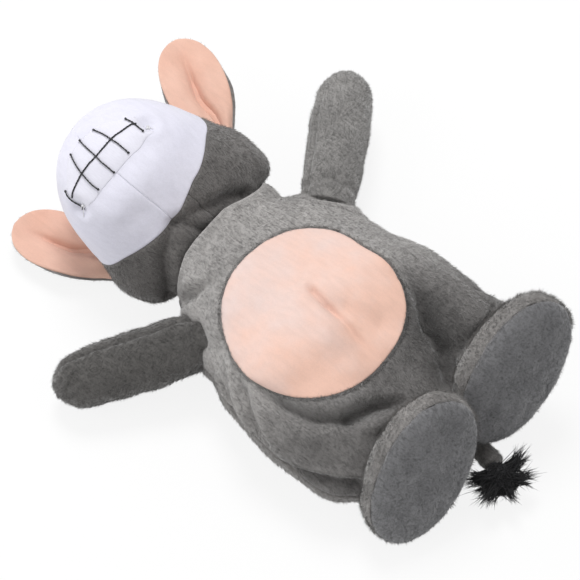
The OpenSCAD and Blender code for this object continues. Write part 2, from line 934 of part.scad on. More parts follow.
module tail_tuft() {
    start = tail_path[len(tail_path) - 1] + (2 * seam_gap + 0.4) * tuft_dir;
    grow = [[0, 0.3], [0.1, 0.6], [0.28, 0.92], [0.5, 1], [0.72, 0.85], [0.9, 0.5], [1, 0.16]];
    path = [for (g = grow) start + g[0] * tuft_len * tuft_dir];
    color(black)
        tube(path, [for (g = grow) g[1] * tuft_r], 16);
}

body_front();
body_back();
belly_patch();
hem_band();
neck_collar();
head_left_panel();
head_right_panel();
head_filling();
finger_pocket();
muzzle_left_panel();
muzzle_right_panel();
muzzle_filling();
mouth_patch();
grin_stitch();
tooth_stitches();
mouth_corner_knots();
nostril_stitches();
left_eye();
right_eye();
eye_washers();
forelock();
left_ear_back();
left_ear_lining();
right_ear_back();
right_ear_lining();
left_arm();
right_arm();
left_leg();
left_foot_upper();
left_foot_filling();
left_sole();
right_leg();
right_foot_upper();
right_foot_filling();
right_sole();
tail_tube();
tail_tuft();
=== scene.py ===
import math

import bpy
import numpy as np
from mathutils import Matrix, Vector


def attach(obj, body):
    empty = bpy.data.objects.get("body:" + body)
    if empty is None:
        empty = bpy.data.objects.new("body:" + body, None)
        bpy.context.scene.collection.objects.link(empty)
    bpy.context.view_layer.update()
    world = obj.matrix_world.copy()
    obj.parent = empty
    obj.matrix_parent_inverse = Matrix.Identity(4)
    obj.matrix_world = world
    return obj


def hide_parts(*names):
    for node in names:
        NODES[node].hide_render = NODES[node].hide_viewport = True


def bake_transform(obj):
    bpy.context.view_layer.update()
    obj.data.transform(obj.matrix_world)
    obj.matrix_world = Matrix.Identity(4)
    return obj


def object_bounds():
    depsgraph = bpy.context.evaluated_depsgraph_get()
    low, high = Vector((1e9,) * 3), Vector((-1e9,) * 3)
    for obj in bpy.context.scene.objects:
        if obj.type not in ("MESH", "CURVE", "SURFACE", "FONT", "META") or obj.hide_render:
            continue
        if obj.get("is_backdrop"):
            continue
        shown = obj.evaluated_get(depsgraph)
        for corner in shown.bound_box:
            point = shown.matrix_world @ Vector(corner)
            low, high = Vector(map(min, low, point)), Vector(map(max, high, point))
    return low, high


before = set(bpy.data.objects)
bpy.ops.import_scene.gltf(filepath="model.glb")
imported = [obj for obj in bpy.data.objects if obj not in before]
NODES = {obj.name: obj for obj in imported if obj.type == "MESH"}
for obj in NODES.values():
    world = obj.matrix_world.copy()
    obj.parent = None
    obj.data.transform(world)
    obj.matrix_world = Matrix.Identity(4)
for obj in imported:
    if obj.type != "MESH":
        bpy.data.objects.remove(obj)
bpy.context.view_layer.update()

MM = 0.001
SIDES = ("left", "right")
TABLE = 0.05  # nothing goes lower, in millimetres


def vec(*values):
    return np.array(values, float)


def xyz(*parts):
    return np.stack(np.broadcast_arrays(*parts), -1)


# ---- places in millimetres: the CAD's, moved a little where the photo shows them elsewhere

NECK = vec(2, 64, 22.4)
SHOULDER = {"left": vec(53.2, 42.3, 32.2), "right": vec(-51.4, 38.4, 30.2)}
HIP = {"left": vec(39, -72.4, 41.5), "right": vec(-46, -72.4, 44.5)}
FOOT = {"left": vec(26.7, -102.8, 50.2), "right": vec(-43.7, -98.3, 40.5)}
EAR = {"left": vec(47.8, 121.4, 31.5), "right": vec(-45, 121.8, 10.3)}
EAR_TURN = {"left": -31.0, "right": 15.5}
EAR_LEN = {"left": 64.0, "right": 55.0}
TAIL = vec(-3, -70.9, 4.8)
HEAD_LEN, TIP_Y, WAIST_Y, BALL_R = 49.0, 111.0, 8.03, 19.0
ARM_LEN, FINGER_R, FINGER_LEN = 87.0, 10.0, 62.0
PATCH_MID, PATCH_HALF = (99.0, -2.0), (43.5, 47.3)


# ---- curves

def lerp(a, b, t):
    return a + (b - a) * t


def ease(t):
    t = np.clip(t, 0, 1)
    return t * t * (3 - 2 * t)


def bell(x, width):
    return np.exp(-(x / width) ** 2)


def along(stations, x):
    """Smooth curve through [place, value] stations."""
    st = np.asarray(stations, float)
    place, value = st[:, 0], st[:, 1]
    last = len(st) - 1
    low = np.maximum(np.arange(last + 1) - 1, 0)
    high = np.minimum(np.arange(last + 1) + 1, last)
    slope = (value[high] - value[low]) / (place[high] - place[low])
    x = np.clip(np.asarray(x, float), place[0], place[-1])
    k = np.clip(np.searchsorted(place, x, side="right") - 1, 0, last - 1)
    d = place[k + 1] - place[k]
    t = (x - place[k]) / d
    u, w = t * t, t * t * t
    return (value[k] * (2 * w - 3 * u + 1) + slope[k] * d * (w - 2 * u + t)
            + value[k + 1] * (3 * u - 2 * w) + slope[k + 1] * d * (w - u))


def bent(c, p):
    return np.sign(c) * np.abs(c) ** (2 / p)


def unit(v):
    return v / np.maximum(np.linalg.norm(v, axis=-1, keepdims=True), 1e-9)


def raised(points, low=TABLE):
    """Points, none of them under a height."""
    points[..., 2] = np.maximum(points[..., 2], low)
    return points


def steps(points, axis=0):
    """Distances between neighbours."""
    return np.linalg.norm(np.diff(points, axis=axis), axis=-1)


def run_of(path):
    """Length of a path up to each of its points."""
    return np.concatenate([[0], np.cumsum(steps(path))])


def through(points, at):
    """Smooth curve through rows of measures, at places counted in rows."""
    count = np.arange(len(points))
    return np.stack([along(np.stack([count, column], -1), at) for column in points.T], -1)


def turn(axis, degrees):
    a = math.radians(degrees)
    c, s = math.cos(a), math.sin(a)
    i, j = {"x": (1, 2), "y": (2, 0), "z": (0, 1)}[axis]
    m = np.eye(3)
    m[i, i], m[i, j], m[j, i], m[j, j] = c, -s, s, c
    return m


def mesh_of(rows, cols, turns=False):
    """Two grids of parameters, rows down and columns across; turns is for whole rings of columns."""
    cols = np.linspace(0, 360, cols, endpoint=False) if turns else cols
    return np.meshgrid(rows, cols, indexing="ij")


def rounding(start, end, count):
    """Places that close up towards the end, for a rounded tip."""
    return start + (end - start) * np.sin(np.linspace(0, math.pi / 2, count))[1:]


def normals(grid, wrap):
    """Outward normals of a grid whose columns run anticlockwise seen from outside."""
    if wrap:
        wide = np.concatenate([grid[:, -1:], grid, grid[:, :1]], 1)
        across = wide[:, 2:] - wide[:, :-2]
    else:
        across = np.gradient(grid, axis=1)
    return unit(np.cross(across, np.gradient(grid, axis=0)))


def outward(grid, inside, wrap=False):
    """Turns a grid over if its columns run the wrong way round a point inside it."""
    i, j = len(grid) // 2, grid.shape[1] // 2
    return grid if (grid[i, j] - inside) @ normals(grid, wrap)[i, j] > 0 else grid[:, ::-1]


def lumps(points, size, seed):
    """Soft unevenness of about that size, from -1 to 1."""
    r = np.random.default_rng(seed)
    total = np.zeros(points.shape[:-1])
    for _ in range(9):
        way = unit(r.normal(size=3)) * 2 * math.pi / (size * (0.6 + 0.9 * r.random()))
        total += np.sin(points @ way + r.random() * 6.3)
    return total / 4.5


def fold(points, line, depth, width):
    """Height of a ridge or crease along a line of points, with its depth at each of them."""
    line = np.asarray(line, float)
    best = np.full(points.shape[:-1], 1e9)
    height = np.zeros(points.shape[:-1])
    for i in range(len(line) - 1):
        a, d = line[i], line[i + 1] - line[i]
        t = np.clip(((points - a) @ d) / (d @ d), 0, 1)
        gap = np.linalg.norm(points - a - t[..., None] * d, axis=-1)
        near = gap < best
        best = np.where(near, gap, best)
        height = np.where(near, lerp(depth[i], depth[i + 1], t), height)
    return height * bell(best, width)


# ---- the head's surface

HEAD_W = [[WAIST_Y, 17.22], [11.31, 35.64], [16.22, 47.52], [25.24, 52.92], [36.71, 54], [49, 49.68], [61.4, 46.44],
          [76.28, 42.66], [88.68, 37.8], [98.6, 30.24], [106.04, 19.98], [109.76, 9.72], [111, 1.08]]
THROAT = [[WAIST_Y, 17.22], [16.22, 17.6], [25.24, 21.6], [36.71, 25.2], [49, 26.4], [61.4, 27.2], [76.28, 26],
          [88.68, 21.2], [98.6, 12.8], [106.04, 1.6], [109.76, -7.2], [111, -12.4]]
FOREHEAD = [[0, 19], [WAIST_Y, 26.4], [16.22, 33.6], [25.24, 42], [36.71, 53.2], [49, 54], [61.4, 52], [76.28, 48],
            [88.68, 42.4], [98.6, 35.2], [106.04, 26], [109.76, 18.8], [111, 14]]
HEAD_TURN = turn("z", 5) @ turn("y", -10) @ turn("x", 37)
CHIN = 108.0


def ball(y):
    return np.sqrt(np.maximum(BALL_R ** 2 - y * y, 0.01))


def head_size(y):
    """Half width, and the reach to the throat and to the forehead, at a place along the head."""
    wide = np.where(y < WAIST_Y, ball(y), along(HEAD_W, y))
    up = np.where(y < WAIST_Y, ball(y), along(THROAT, y))
    return wide, up, np.where(y < 0, ball(y), along(FOREHEAD, y))


def head_pt(u, y):
    """Head in its own frame, at an angle round it and a place along it."""
    u, y = np.broadcast_arrays(np.asarray(u, float), np.asarray(y, float))
    wide, up, down = head_size(y)
    r = np.radians(u)
    x = wide * np.cos(r) - 2.8 * ease((y - 38) / 45)
    return xyz(x, y, (up - down) / 2 + (up + down) / 2 * np.sin(r))


def out_of_head(p):
    return p @ HEAD_TURN.T + NECK


def in_head(p, gap):
    """True for points inside the head or closer to it than the gap."""
    q = (p - NECK) @ HEAD_TURN
    wide, up, down = head_size(np.clip(q[..., 1], WAIST_Y, TIP_Y))
    e = (q[..., 0] / (wide + gap)) ** 2 + ((q[..., 2] - (up - down) / 2) / ((up + down) / 2 + gap)) ** 2
    return (e < 1) & (q[..., 1] > WAIST_Y - gap)


def head_normal(u, y):
    du = head_pt(np.add(u, 0.5), y) - head_pt(np.add(u, -0.5), y)
    dy = head_pt(u, np.add(y, 0.3)) - head_pt(u, np.minimum(np.add(y, -0.3), TIP_Y - 0.1))
    return unit(np.cross(dy, du))


def on_head(*places):
    p = np.asarray(places, float)
    return head_pt(p[:, 0], p[:, 1])


def muzzle_seam(u):
    """Where the white muzzle ends: nearest the neck at the chin, swept forward at the cheeks."""
    off = (np.asarray(u, float) - CHIN + 180) % 360 - 180
    left = 5.0 * ease(-off / 30) + 5 * ease((-off - 30) / 40) + 4 * ease((-off - 70) / 40)
    return HEAD_LEN - 2 + np.where(off < 0, left, 4.0 * ease(off / 50) + 3.5 * ease((off - 60) / 50))


def grin_y(a):
    return lerp(HEAD_LEN, TIP_Y, 0.82) - 1.8 - 5.5 * np.abs((a - 1.8) / 45) ** 3


LIP_A = np.linspace(-48, 52, 9)
HEAD_FOLDS = [
    # creases that run from the end of the chin seam over the throat, with soft rolls between them
    (on_head((107, 45.5), (90.5, 38.7), (76, 31.3), (64, 21)), [-2.0, -3.6, -4.6, -4.0], 3.6),
    (on_head((95, 45), (78, 39), (60, 34)), [0, 2.2, 0], 6.5),
    (on_head((107, 45.5), (103, 38.7), (99, 28)), [-1.5, -2.8, -2.5], 3.2),
    (on_head((111, 45.5), (128.5, 37), (141.5, 25.3), (158, 17)), [-2.0, -4.2, -5.2, -3.5], 3.8),
    (on_head((118, 38), (132, 24)), [0.5, 1.8], 5.0),
    (on_head((146, 46), (160, 34), (172, 24)), [0, 1.8, 0], 9.0),
    # the lip's lower edge and the swell of the chin below it
    (on_head(*zip(CHIN + LIP_A, grin_y(LIP_A) - 12.5)), [0, -0.4, -0.6, -0.7, -0.7, -0.7, -0.6, -0.4, 0], 4.5),
    (on_head(*zip(CHIN + LIP_A, grin_y(LIP_A) - 24)), [0, 0.4, 0.9, 1.1, 1.1, 1.1, 0.9, 0.4, 0], 8.0),
    # full cheek by the neck
    (on_head((-14, 19), (6, 16.5), (24, 16), (44, 19)), [0, 3.0, 3.0, 0], 7.0),
    (on_head((-16, 12), (4, 9), (24, 9), (46, 12)), [0, 4.5, 4.5, 0], 6.0),
]
DIMPLES = [(CHIN - 48.2, grin_y(-48.2) - 2.5), (CHIN + 46.5, grin_y(46.5) - 6)]


def head_skin(u, y, lift=0.0):
    """Head and muzzle with their folds and the two drawn-in corners of the mouth."""
    p, n = head_pt(u, y), head_normal(u, y)
    h = lift + 0.6 * lumps(p, 36, 11) + 0.18 * lumps(p, 13, 12)
    for line, depth, width in HEAD_FOLDS:
        h = h + fold(p, line, depth, width)
    for u0, y0 in DIMPLES:
        gap = np.linalg.norm(p - head_pt(u0, y0), axis=-1)
        h = h - 2.6 * bell(gap, 4.2) + 0.7 * bell(gap - 8, 3.5)
    h = h * ease((np.asarray(y) - 9.5) / 6) * ease((TIP_Y - np.asarray(y)) / 5)
    return out_of_head(p + n * h[..., None])


# ---- the glove's surface

GLOVE_W = [[-100, 48], [-82, 58.5], [-66, 70.2], [-34, 72.4], [-2, 66.5], [26, 61.1], [49, 51.1], [60, 43.25],
           [76, 38.25]]
GLOVE_TOP = [[-100, 32], [-84, 43], [-66, 52], [-35, 63], [-7, 68], [23, 61], [45, 59], [58, 59.5], [70, 60.5],
             [76, 60.5]]
GLOVE_X = [[-100, -6.5], [-66, -7.8], [-34, -9.2], [-2, -10.9], [26, -5.1], [49, -4.1], [60, -4.25], [76, -1.25]]
ARM_TURN = {"left": turn("z", 31.3) @ turn("y", 93), "right": turn("z", 35.4) @ turn("y", 100)}
MIRROR = {"left": np.ones(3), "right": vec(-1, 1, 1)}


def glove_at(u, y):
    """Glove at an angle from the left side seam and a place along the body."""
    u, y = np.broadcast_arrays(np.asarray(u, float), np.asarray(y, float))
    top, bottom = along(GLOVE_TOP, y), -1.5 * np.clip((66 - y) / 19, 0, 1)
    s, c = np.sin(np.radians(u)), np.cos(np.radians(u))
    z = (top + bottom) / 2 + (top - bottom) / 2 * bent(s, np.where(s > 0, 2.3, 3.0))
    return xyz(along(GLOVE_X, y) + along(GLOVE_W, y) * bent(c, 2.3), y, np.maximum(0, z))


def glove_normal(u, y):
    du = glove_at(np.add(u, 0.3), y) - glove_at(np.add(u, -0.3), y)
    return unit(np.cross(glove_at(u, np.add(y, 0.2)) - glove_at(u, np.add(y, -0.2)), du))


NECK_EDGE = [[0, 74], [22, 73], [46, 68.5], [64, 68], [80, 70.5], [98, 74], [114, 74], [140, 71.5], [170, 68],
             [195, 66], [270, 65], [310, 68], [345, 74], [360, 74]]


def fit_rim():
    """How far the neck edge reaches over the throat at each angle before it meets the head."""
    u, y = mesh_of(np.arange(0.0, 360), np.linspace(58, 74, 65))
    free = np.cumprod(~in_head(glove_at(u, y), 1.8), 1).sum(1)
    reach = y[0][np.clip(free - 2, 0, 64)]
    wide = np.concatenate([reach[-12:], reach, reach[:12]])
    reach = np.convolve(wide, np.ones(13) / 13, "same")[12:-12] - 0.4
    return np.minimum(reach, along(NECK_EDGE, np.arange(0.0, 360)))


RIM = fit_rim()


def rim_y(u):
    return np.interp(np.asarray(u, float) % 360, np.arange(361), np.append(RIM, RIM[0]))


def hem_y(u):
    """The front reaches down over the legs, ends in a point between them and sags at the right corner."""
    legs = 21 * bell(u - 82, 16) + 3 * ease((u - 25) / 20) * ease((148 - u) / 20)
    return -66 - legs - 16 * ease((u - 118) / 22) * ease((225 - u) / 30)


BODY_FOLDS = [
    # (angle, place along the body, height) of each point of a ridge or crease, and its width
    # ridges and creases down the right side from the armpit
    ([(144, 18, 0), (147.5, 13, 2.5), (157.5, 2, 3.8), (165.5, -8, 3.8), (180, -16, 0.5)], 2.8),
    ([(167, 18, 0), (171, 11.5, -4.2), (176.5, 2, -5.5), (186, -8, -2)], 2.6),
    ([(146, 8, 0), (152, -2, -3), (160, -12, -3.6), (168, -22, -1)], 2.8),
    ([(150, -4, 0), (157, -13, 2.6), (162, -22.5, 3.2), (172, -32.5, 0.5)], 3.0),
    # crease under the patch that runs into the deep fold over the right leg, and the fold's lips
    ([(145, 0, 0), (142, -11.5, -3.5), (139, -26, -6), (133, -42, -7.5), (121.5, -55, -4)], 3.6),
    ([(125, -52, -2), (122.5, -53.5, -7), (115, -57.5, -10), (107.5, -62, -9), (101, -69, -4)], 3.6),
    ([(124, -45, 0), (114, -49, 2.6), (104, -55, 0)], 5.0),
    ([(128, -60, 0), (117, -65, 2.6), (108, -71, 1)], 4.5),
    ([(146, -30, 0), (140, -44, 2.4), (132, -58, 0)], 8.0),
    # rolled hem at the right
    ([(172, -39, 0.5), (169, -45, 2.4), (157, -59.5, 2.8), (151, -74, 2.2)], 3.0),
    ([(179, -40, -1), (171, -49, -4.5), (162, -61, -5.5), (157, -74.5, -4.5)], 2.8),
    # valley beside the left leg, the leg's ridge and the hollow between the legs
    ([(58, -22, 0), (59, -30, -2), (63, -42, -8), (71, -55.5, -12.5), (73, -67.5, -12.5), (80, -79.5, -7)], 5.5),
    ([(44, -6, 0), (46.5, -25, 2.5), (47, -46, 4), (47, -66, 4)], 11.0),
    ([(92, -52, 0), (90, -62, -3), (88, -74, -4)], 10.0),
    ([(30, -27, 0), (24, -45, -2.5), (20, -58, -4)], 7.0),
    # pulls at the armpits and creases at the neck edge
    ([(150, 46, 0), (158, 34, -2.6), (163, 24, 0)], 3.6),
    ([(34, 50, 0), (26, 36, -2.2), (20, 24, 0)], 3.6),
    ([(164, 61, -3), (150, 57, -4.5), (136.5, 54, -3.8), (118, 49, 0)], 2.6),
    ([(158, 65, 0), (144, 62, 2), (128, 60, 0)], 3.0),
    ([(8, 60, -0.5), (24, 60, -2), (44, 59, -1.6), (66, 58, 0)], 3.4),
    ([(72, 70, -1.5), (78, 64, -1.2), (84, 56, 0)], 3.0),
    ([(106, 74, -1.5), (104, 66, -1.5), (100, 58, 0)], 3.4),
]
BELLY_FOLDS = [
    ([(89.5, 8, 0), (89.7, 3, -4.0), (90.5, -8, -4.6), (91.5, -21, -2.6), (93.5, -34.5, -1.8), (95, -47, 0)], 1.9),
    ([(93, 9, 0), (94, 1, 2.0), (95, -12, 1.6), (97, -26, 1.4), (99, -42, 0)], 3.6),
    ([(90, -7, 0), (88, -17, -2.6), (86, -36, -2.6), (84, -46, 0)], 5.5),
    ([(98, -2, 0), (100, -18, 1.3), (103, -33, 0)], 6.0),
]


def patch_share(u, y):
    """Distance from the middle of the belly patch, where 1 is its seam."""
    over = (u - PATCH_MID[0] - 0.07 * y) / (PATCH_HALF[0] * (1 + 0.003 * y))
    return np.hypot(over, (y - PATCH_MID[1]) / PATCH_HALF[1])


def on_patch(share, angle):
    """Angle and place of points of the belly patch."""
    y = PATCH_MID[1] + share * PATCH_HALF[1] * np.sin(angle)
    return PATCH_MID[0] + 0.07 * y + share * PATCH_HALF[0] * (1 + 0.003 * y) * np.cos(angle), y


def off_arm(p):
    """Distance from the nearer arm's middle line."""
    gap = np.full(p.shape[:-1], 99.0)
    for side in SIDES:
        q = ((p - SHOULDER[side]) * MIRROR[side]) @ ARM_TURN[side]
        gap = np.minimum(gap, np.where(q[..., 2] > -14, np.hypot(q[..., 0], q[..., 1]), 99))
    return gap


def body_skin(u, y, patch=False):
    """Glove with its folds; the belly patch swells between its seam."""
    p, n = glove_at(u, y), glove_normal(u, y)
    h = 0.9 * lumps(p, 38, 3) + 0.3 * lumps(p, 14, 4)
    for line, width in BODY_FOLDS + (BELLY_FOLDS if patch else []):
        a, b, depth = np.transpose(line)
        h = h + fold(p, glove_at(a, b), depth, width)
    share = patch_share(u, y)
    if patch:
        h = h + 1.2 * np.sqrt(np.clip(1 - share ** 4, 0, 1)) + 0.35
    else:
        h = h - 1.6 * ease((1.0 - share) / 0.05) - 5 * ease((0.93 - share) / 0.2) + 0.4 * bell(share - 1.11, 0.07)
        h = h + 1.6 * bell(off_arm(p) - 17, 4)
    h = h * ease(p[..., 2] / 5) * (0.25 + 0.75 * ease((rim_y(u) - y) / 7))
    return raised(p + n * h[..., None])


# ---- mesh building

def placed(name, data):
    obj = bpy.data.objects.new(name, data)
    bpy.context.scene.collection.objects.link(obj)
    return obj


def build(name, verts, faces, material, smooth=True):
    """New object from points in millimetres, arrays of faces and the key of a material."""
    verts = np.asarray(verts, float).reshape(-1, 3) * MM
    corner = np.concatenate([f.ravel() for f in faces]).astype(np.int32)
    sides = np.concatenate([np.full(len(f), f.shape[1]) for f in faces])
    start = np.concatenate([[0], np.cumsum(sides)[:-1]]).astype(np.int32)
    mesh = bpy.data.meshes.new(name)
    mesh.vertices.add(len(verts))
    mesh.vertices.foreach_set("co", verts.ravel().astype(np.float32))
    mesh.loops.add(len(corner))
    mesh.loops.foreach_set("vertex_index", corner)
    mesh.polygons.add(len(sides))
    mesh.polygons.foreach_set("loop_start", start)
    mesh.polygons.foreach_set("use_smooth", np.full(len(sides), smooth))
    mesh.update(calc_edges=True)
    mesh.validate()
    mesh.materials.append(M[material])
    return placed(name, mesh)


def quads(rows, cols, wrap, base=0):
    r = np.arange(rows - 1)[:, None]
    c = np.arange(cols if wrap else cols - 1)[None, :]
    a, b = base + r * cols + c, base + r * cols + (c + 1) % cols
    return np.stack([a, b, b + cols, a + cols], -1).reshape(-1, 4)


def areas(grid, wrap):
    """Faces of a grid and the area of each."""
    f = quads(*grid.shape[:2], wrap)
    a, b, c, d = (grid.reshape(-1, 3)[f[:, i]] for i in range(4))
    return f, 0.5 * np.linalg.norm(np.cross(c - a, d - b), axis=-1)


def two_sided(name, outer, inner, material, wrap=False, keep=None):
    """Closed piece between an outer and an inner grid; keep leaves out part of it."""
    rows, cols = outer.shape[:2]
    n = rows * cols
    verts = np.concatenate([outer.reshape(-1, 3), inner.reshape(-1, 3)])
    face = quads(rows, cols, wrap)
    if keep is not None:
        face = face[keep(verts[face].mean(1))]
    a = face.ravel()
    b = np.roll(face, -1, 1).ravel()
    edge = ~np.isin(b * n + a, a * n + b)
    a, b = a[edge], b[edge]
    return build(name, verts, [face, face[:, ::-1] + n, np.stack([b, a, a + n, b + n], -1)], material)


def edge_gap(grid, edge):
    """Distance of each point of a grid from one of its edges, over the cloth."""
    axis = 0 if edge in "bt" else 1
    step = steps(grid, axis)
    zero = np.zeros_like(np.take(step, [0], axis))
    if edge in "bl":
        return np.concatenate([zero, np.cumsum(step, axis)], axis)
    return np.concatenate([np.flip(np.cumsum(np.flip(step, axis), axis), axis), zero], axis)


def cloth(name, grid, material, thick, tuck, roll, edges="btlr", wrap=False, keep=None):
    """Piece of cloth from a grid of its outer side, with its bottom, top, left or right edges rolled under."""
    n = normals(grid, wrap)
    if wrap:
        for end, beside in ((0, 1), (-1, -2)):
            n[end] = unit(n[beside].mean(0)) if np.ptp(grid[end], axis=0).max() < 0.2 else n[end]
    drop = np.zeros(grid.shape[:-1])
    for e in edges:
        w = np.clip(1 - edge_gap(grid, e) / roll, 0, 1)
        drop = np.maximum(drop, tuck * (1 - np.sqrt(1 - w * w)))
    outer = raised(grid - n * drop[..., None])
    inner = raised(grid - n * np.maximum(thick, drop + 0.4)[..., None])
    return two_sided(name, outer, inner, material, wrap, keep), outer


def closed(name, grids, material):
    """One object from closed forms, each a grid of rings with a point at both ends."""
    verts, faces, base = [], [], 0
    for g in grids:
        rows, cols = g.shape[:2]
        n = rows * cols
        verts += [g.reshape(-1, 3), g[:1].mean(1), g[-1:].mean(1)]
        c = np.arange(cols)
        low = np.stack([(c + 1) % cols, c, np.full(cols, n)], -1) + base
        high = np.stack([c + n - cols, (c + 1) % cols + n - cols, np.full(cols, n + 1)], -1) + base
        faces += [quads(rows, cols, True, base), low, high]
        base += n + 2
    return build(name, np.concatenate(verts), faces, material)


def spokes(angles, side, up):
    """Unit circles across a path, one for each pair of side and up."""
    return np.cos(angles)[None, :, None] * side[:, None] + np.sin(angles)[None, :, None] * up[:, None]


def tube(path, radius, sides, twist=0.0, ply=0.0):
    """Rings round a path; ply makes a twisted thread."""
    path = np.asarray(path, float)
    way = unit(np.gradient(path, axis=0))
    side = np.zeros_like(way)
    s = np.cross(way[0], [0.3, 0.2, 0.93])
    for i in range(len(way)):
        s = unit(s - way[i] * (s @ way[i]))
        side[i] = s
    up = np.cross(side, way)
    run = run_of(path)
    a = -np.arange(sides) * 2 * math.pi / sides
    r = np.broadcast_to(radius, len(path))[:, None] * (1 + ply * np.cos(2 * a[None, :] + twist * run[:, None]))
    return path[:, None] + r[..., None] * spokes(a, side, up)


def resample(path, step):
    path = np.asarray(path, float)
    run = run_of(path)
    at = np.linspace(0, run[-1], max(int(run[-1] / step), 2) + 1)
    return np.stack([np.interp(at, run, path[:, i]) for i in range(3)], -1)


def pile(name, grid, material, per_mm2, length, comb, seed, lean=0.72, width=0.2, wrap=False, keep=None, bare=None):
    """Short pile: thin tapered tufts that stand on a grid and lean the way it was combed, with none on bare points."""
    r = np.random.default_rng(seed)
    f, area = areas(grid, wrap)
    p, m = grid.reshape(-1, 3), normals(grid, wrap).reshape(-1, 3)
    if bare is not None:
        area = area * ~bare.reshape(-1)[f].any(1)
    count = int(area.sum() * per_mm2)
    pick = r.choice(len(f), count, p=area / area.sum())
    s, t = r.random((2, count, 1))
    share = [(1 - s) * (1 - t), s * (1 - t), s * t, (1 - s) * t]
    root = sum(share[i] * p[f[pick, i]] for i in range(4))
    up = unit(sum(share[i] * m[f[pick, i]] for i in range(4)))
    if keep is not None:
        ok = keep(root)
        root, up = root[ok], up[ok]
    way = comb(root) if callable(comb) else np.broadcast_to(np.asarray(comb, float), root.shape)
    swirl = np.stack([lumps(root, 19, seed + 20 + i) for i in range(3)], -1)
    way = unit(way) + 0.6 * swirl + 0.24 * r.normal(size=root.shape)
    way = unit(way - up * (way * up).sum(-1, keepdims=True))
    tilt = np.clip(lean + 0.08 * r.normal(size=(len(root), 1)), 0.2, 0.95)
    way = unit(tilt * way + (1 - tilt) * up)
    side = unit(np.cross(way, up))
    base = root - 0.35 * up
    tip = raised(root + way * length * (0.65 + 0.7 * r.random((len(root), 1))))
    v = np.stack([base + width * side, base - width * side, base + 0.8 * width * np.cross(side, way), tip], 1)
    k = np.arange(len(root))[:, None] * 4
    return build(name, v, [np.concatenate([k + [[0, 3, 2]], k + [[2, 3, 1]], k + [[1, 3, 0]]])], material, smooth=False)


def strands(name, roots, ways, lengths, width, material, seed, curl=0.35):
    """Fur: tapered strands that bend as they leave the skin."""
    r = np.random.default_rng(seed)
    ways = unit(ways)
    s = np.linspace(0, 1, 5)[None, :, None]
    n = lengths[:, None, None]
    path = roots[:, None] + ways[:, None] * n * s + curl * r.normal(size=roots.shape)[:, None] * n * 0.35 * s ** 2
    side = unit(np.cross(ways, r.normal(size=roots.shape)))
    ring = spokes(np.arange(3) * 2 * math.pi / 3, side, np.cross(side, ways))
    taper = width * vec(1, 0.95, 0.8, 0.5, 0.06)
    verts = raised(path[:, :, None] + taper[None, :, None, None] * ring[:, None], 0.15)
    face = quads(5, 3, True) + 15 * np.arange(len(roots))[:, None, None]
    return build(name, verts, [face.reshape(-1, 4)], material)


# ---- materials

def srgb(r, g, b):
    return tuple(((c / 255 + 0.055) / 1.055) ** 2.4 for c in (r, g, b)) + (1.0,)


def shade(colour, k):
    return tuple(min(c * k, 1.0) for c in colour[:3]) + (1.0,)


WHITE = (1.0, 1.0, 1.0, 1.0)


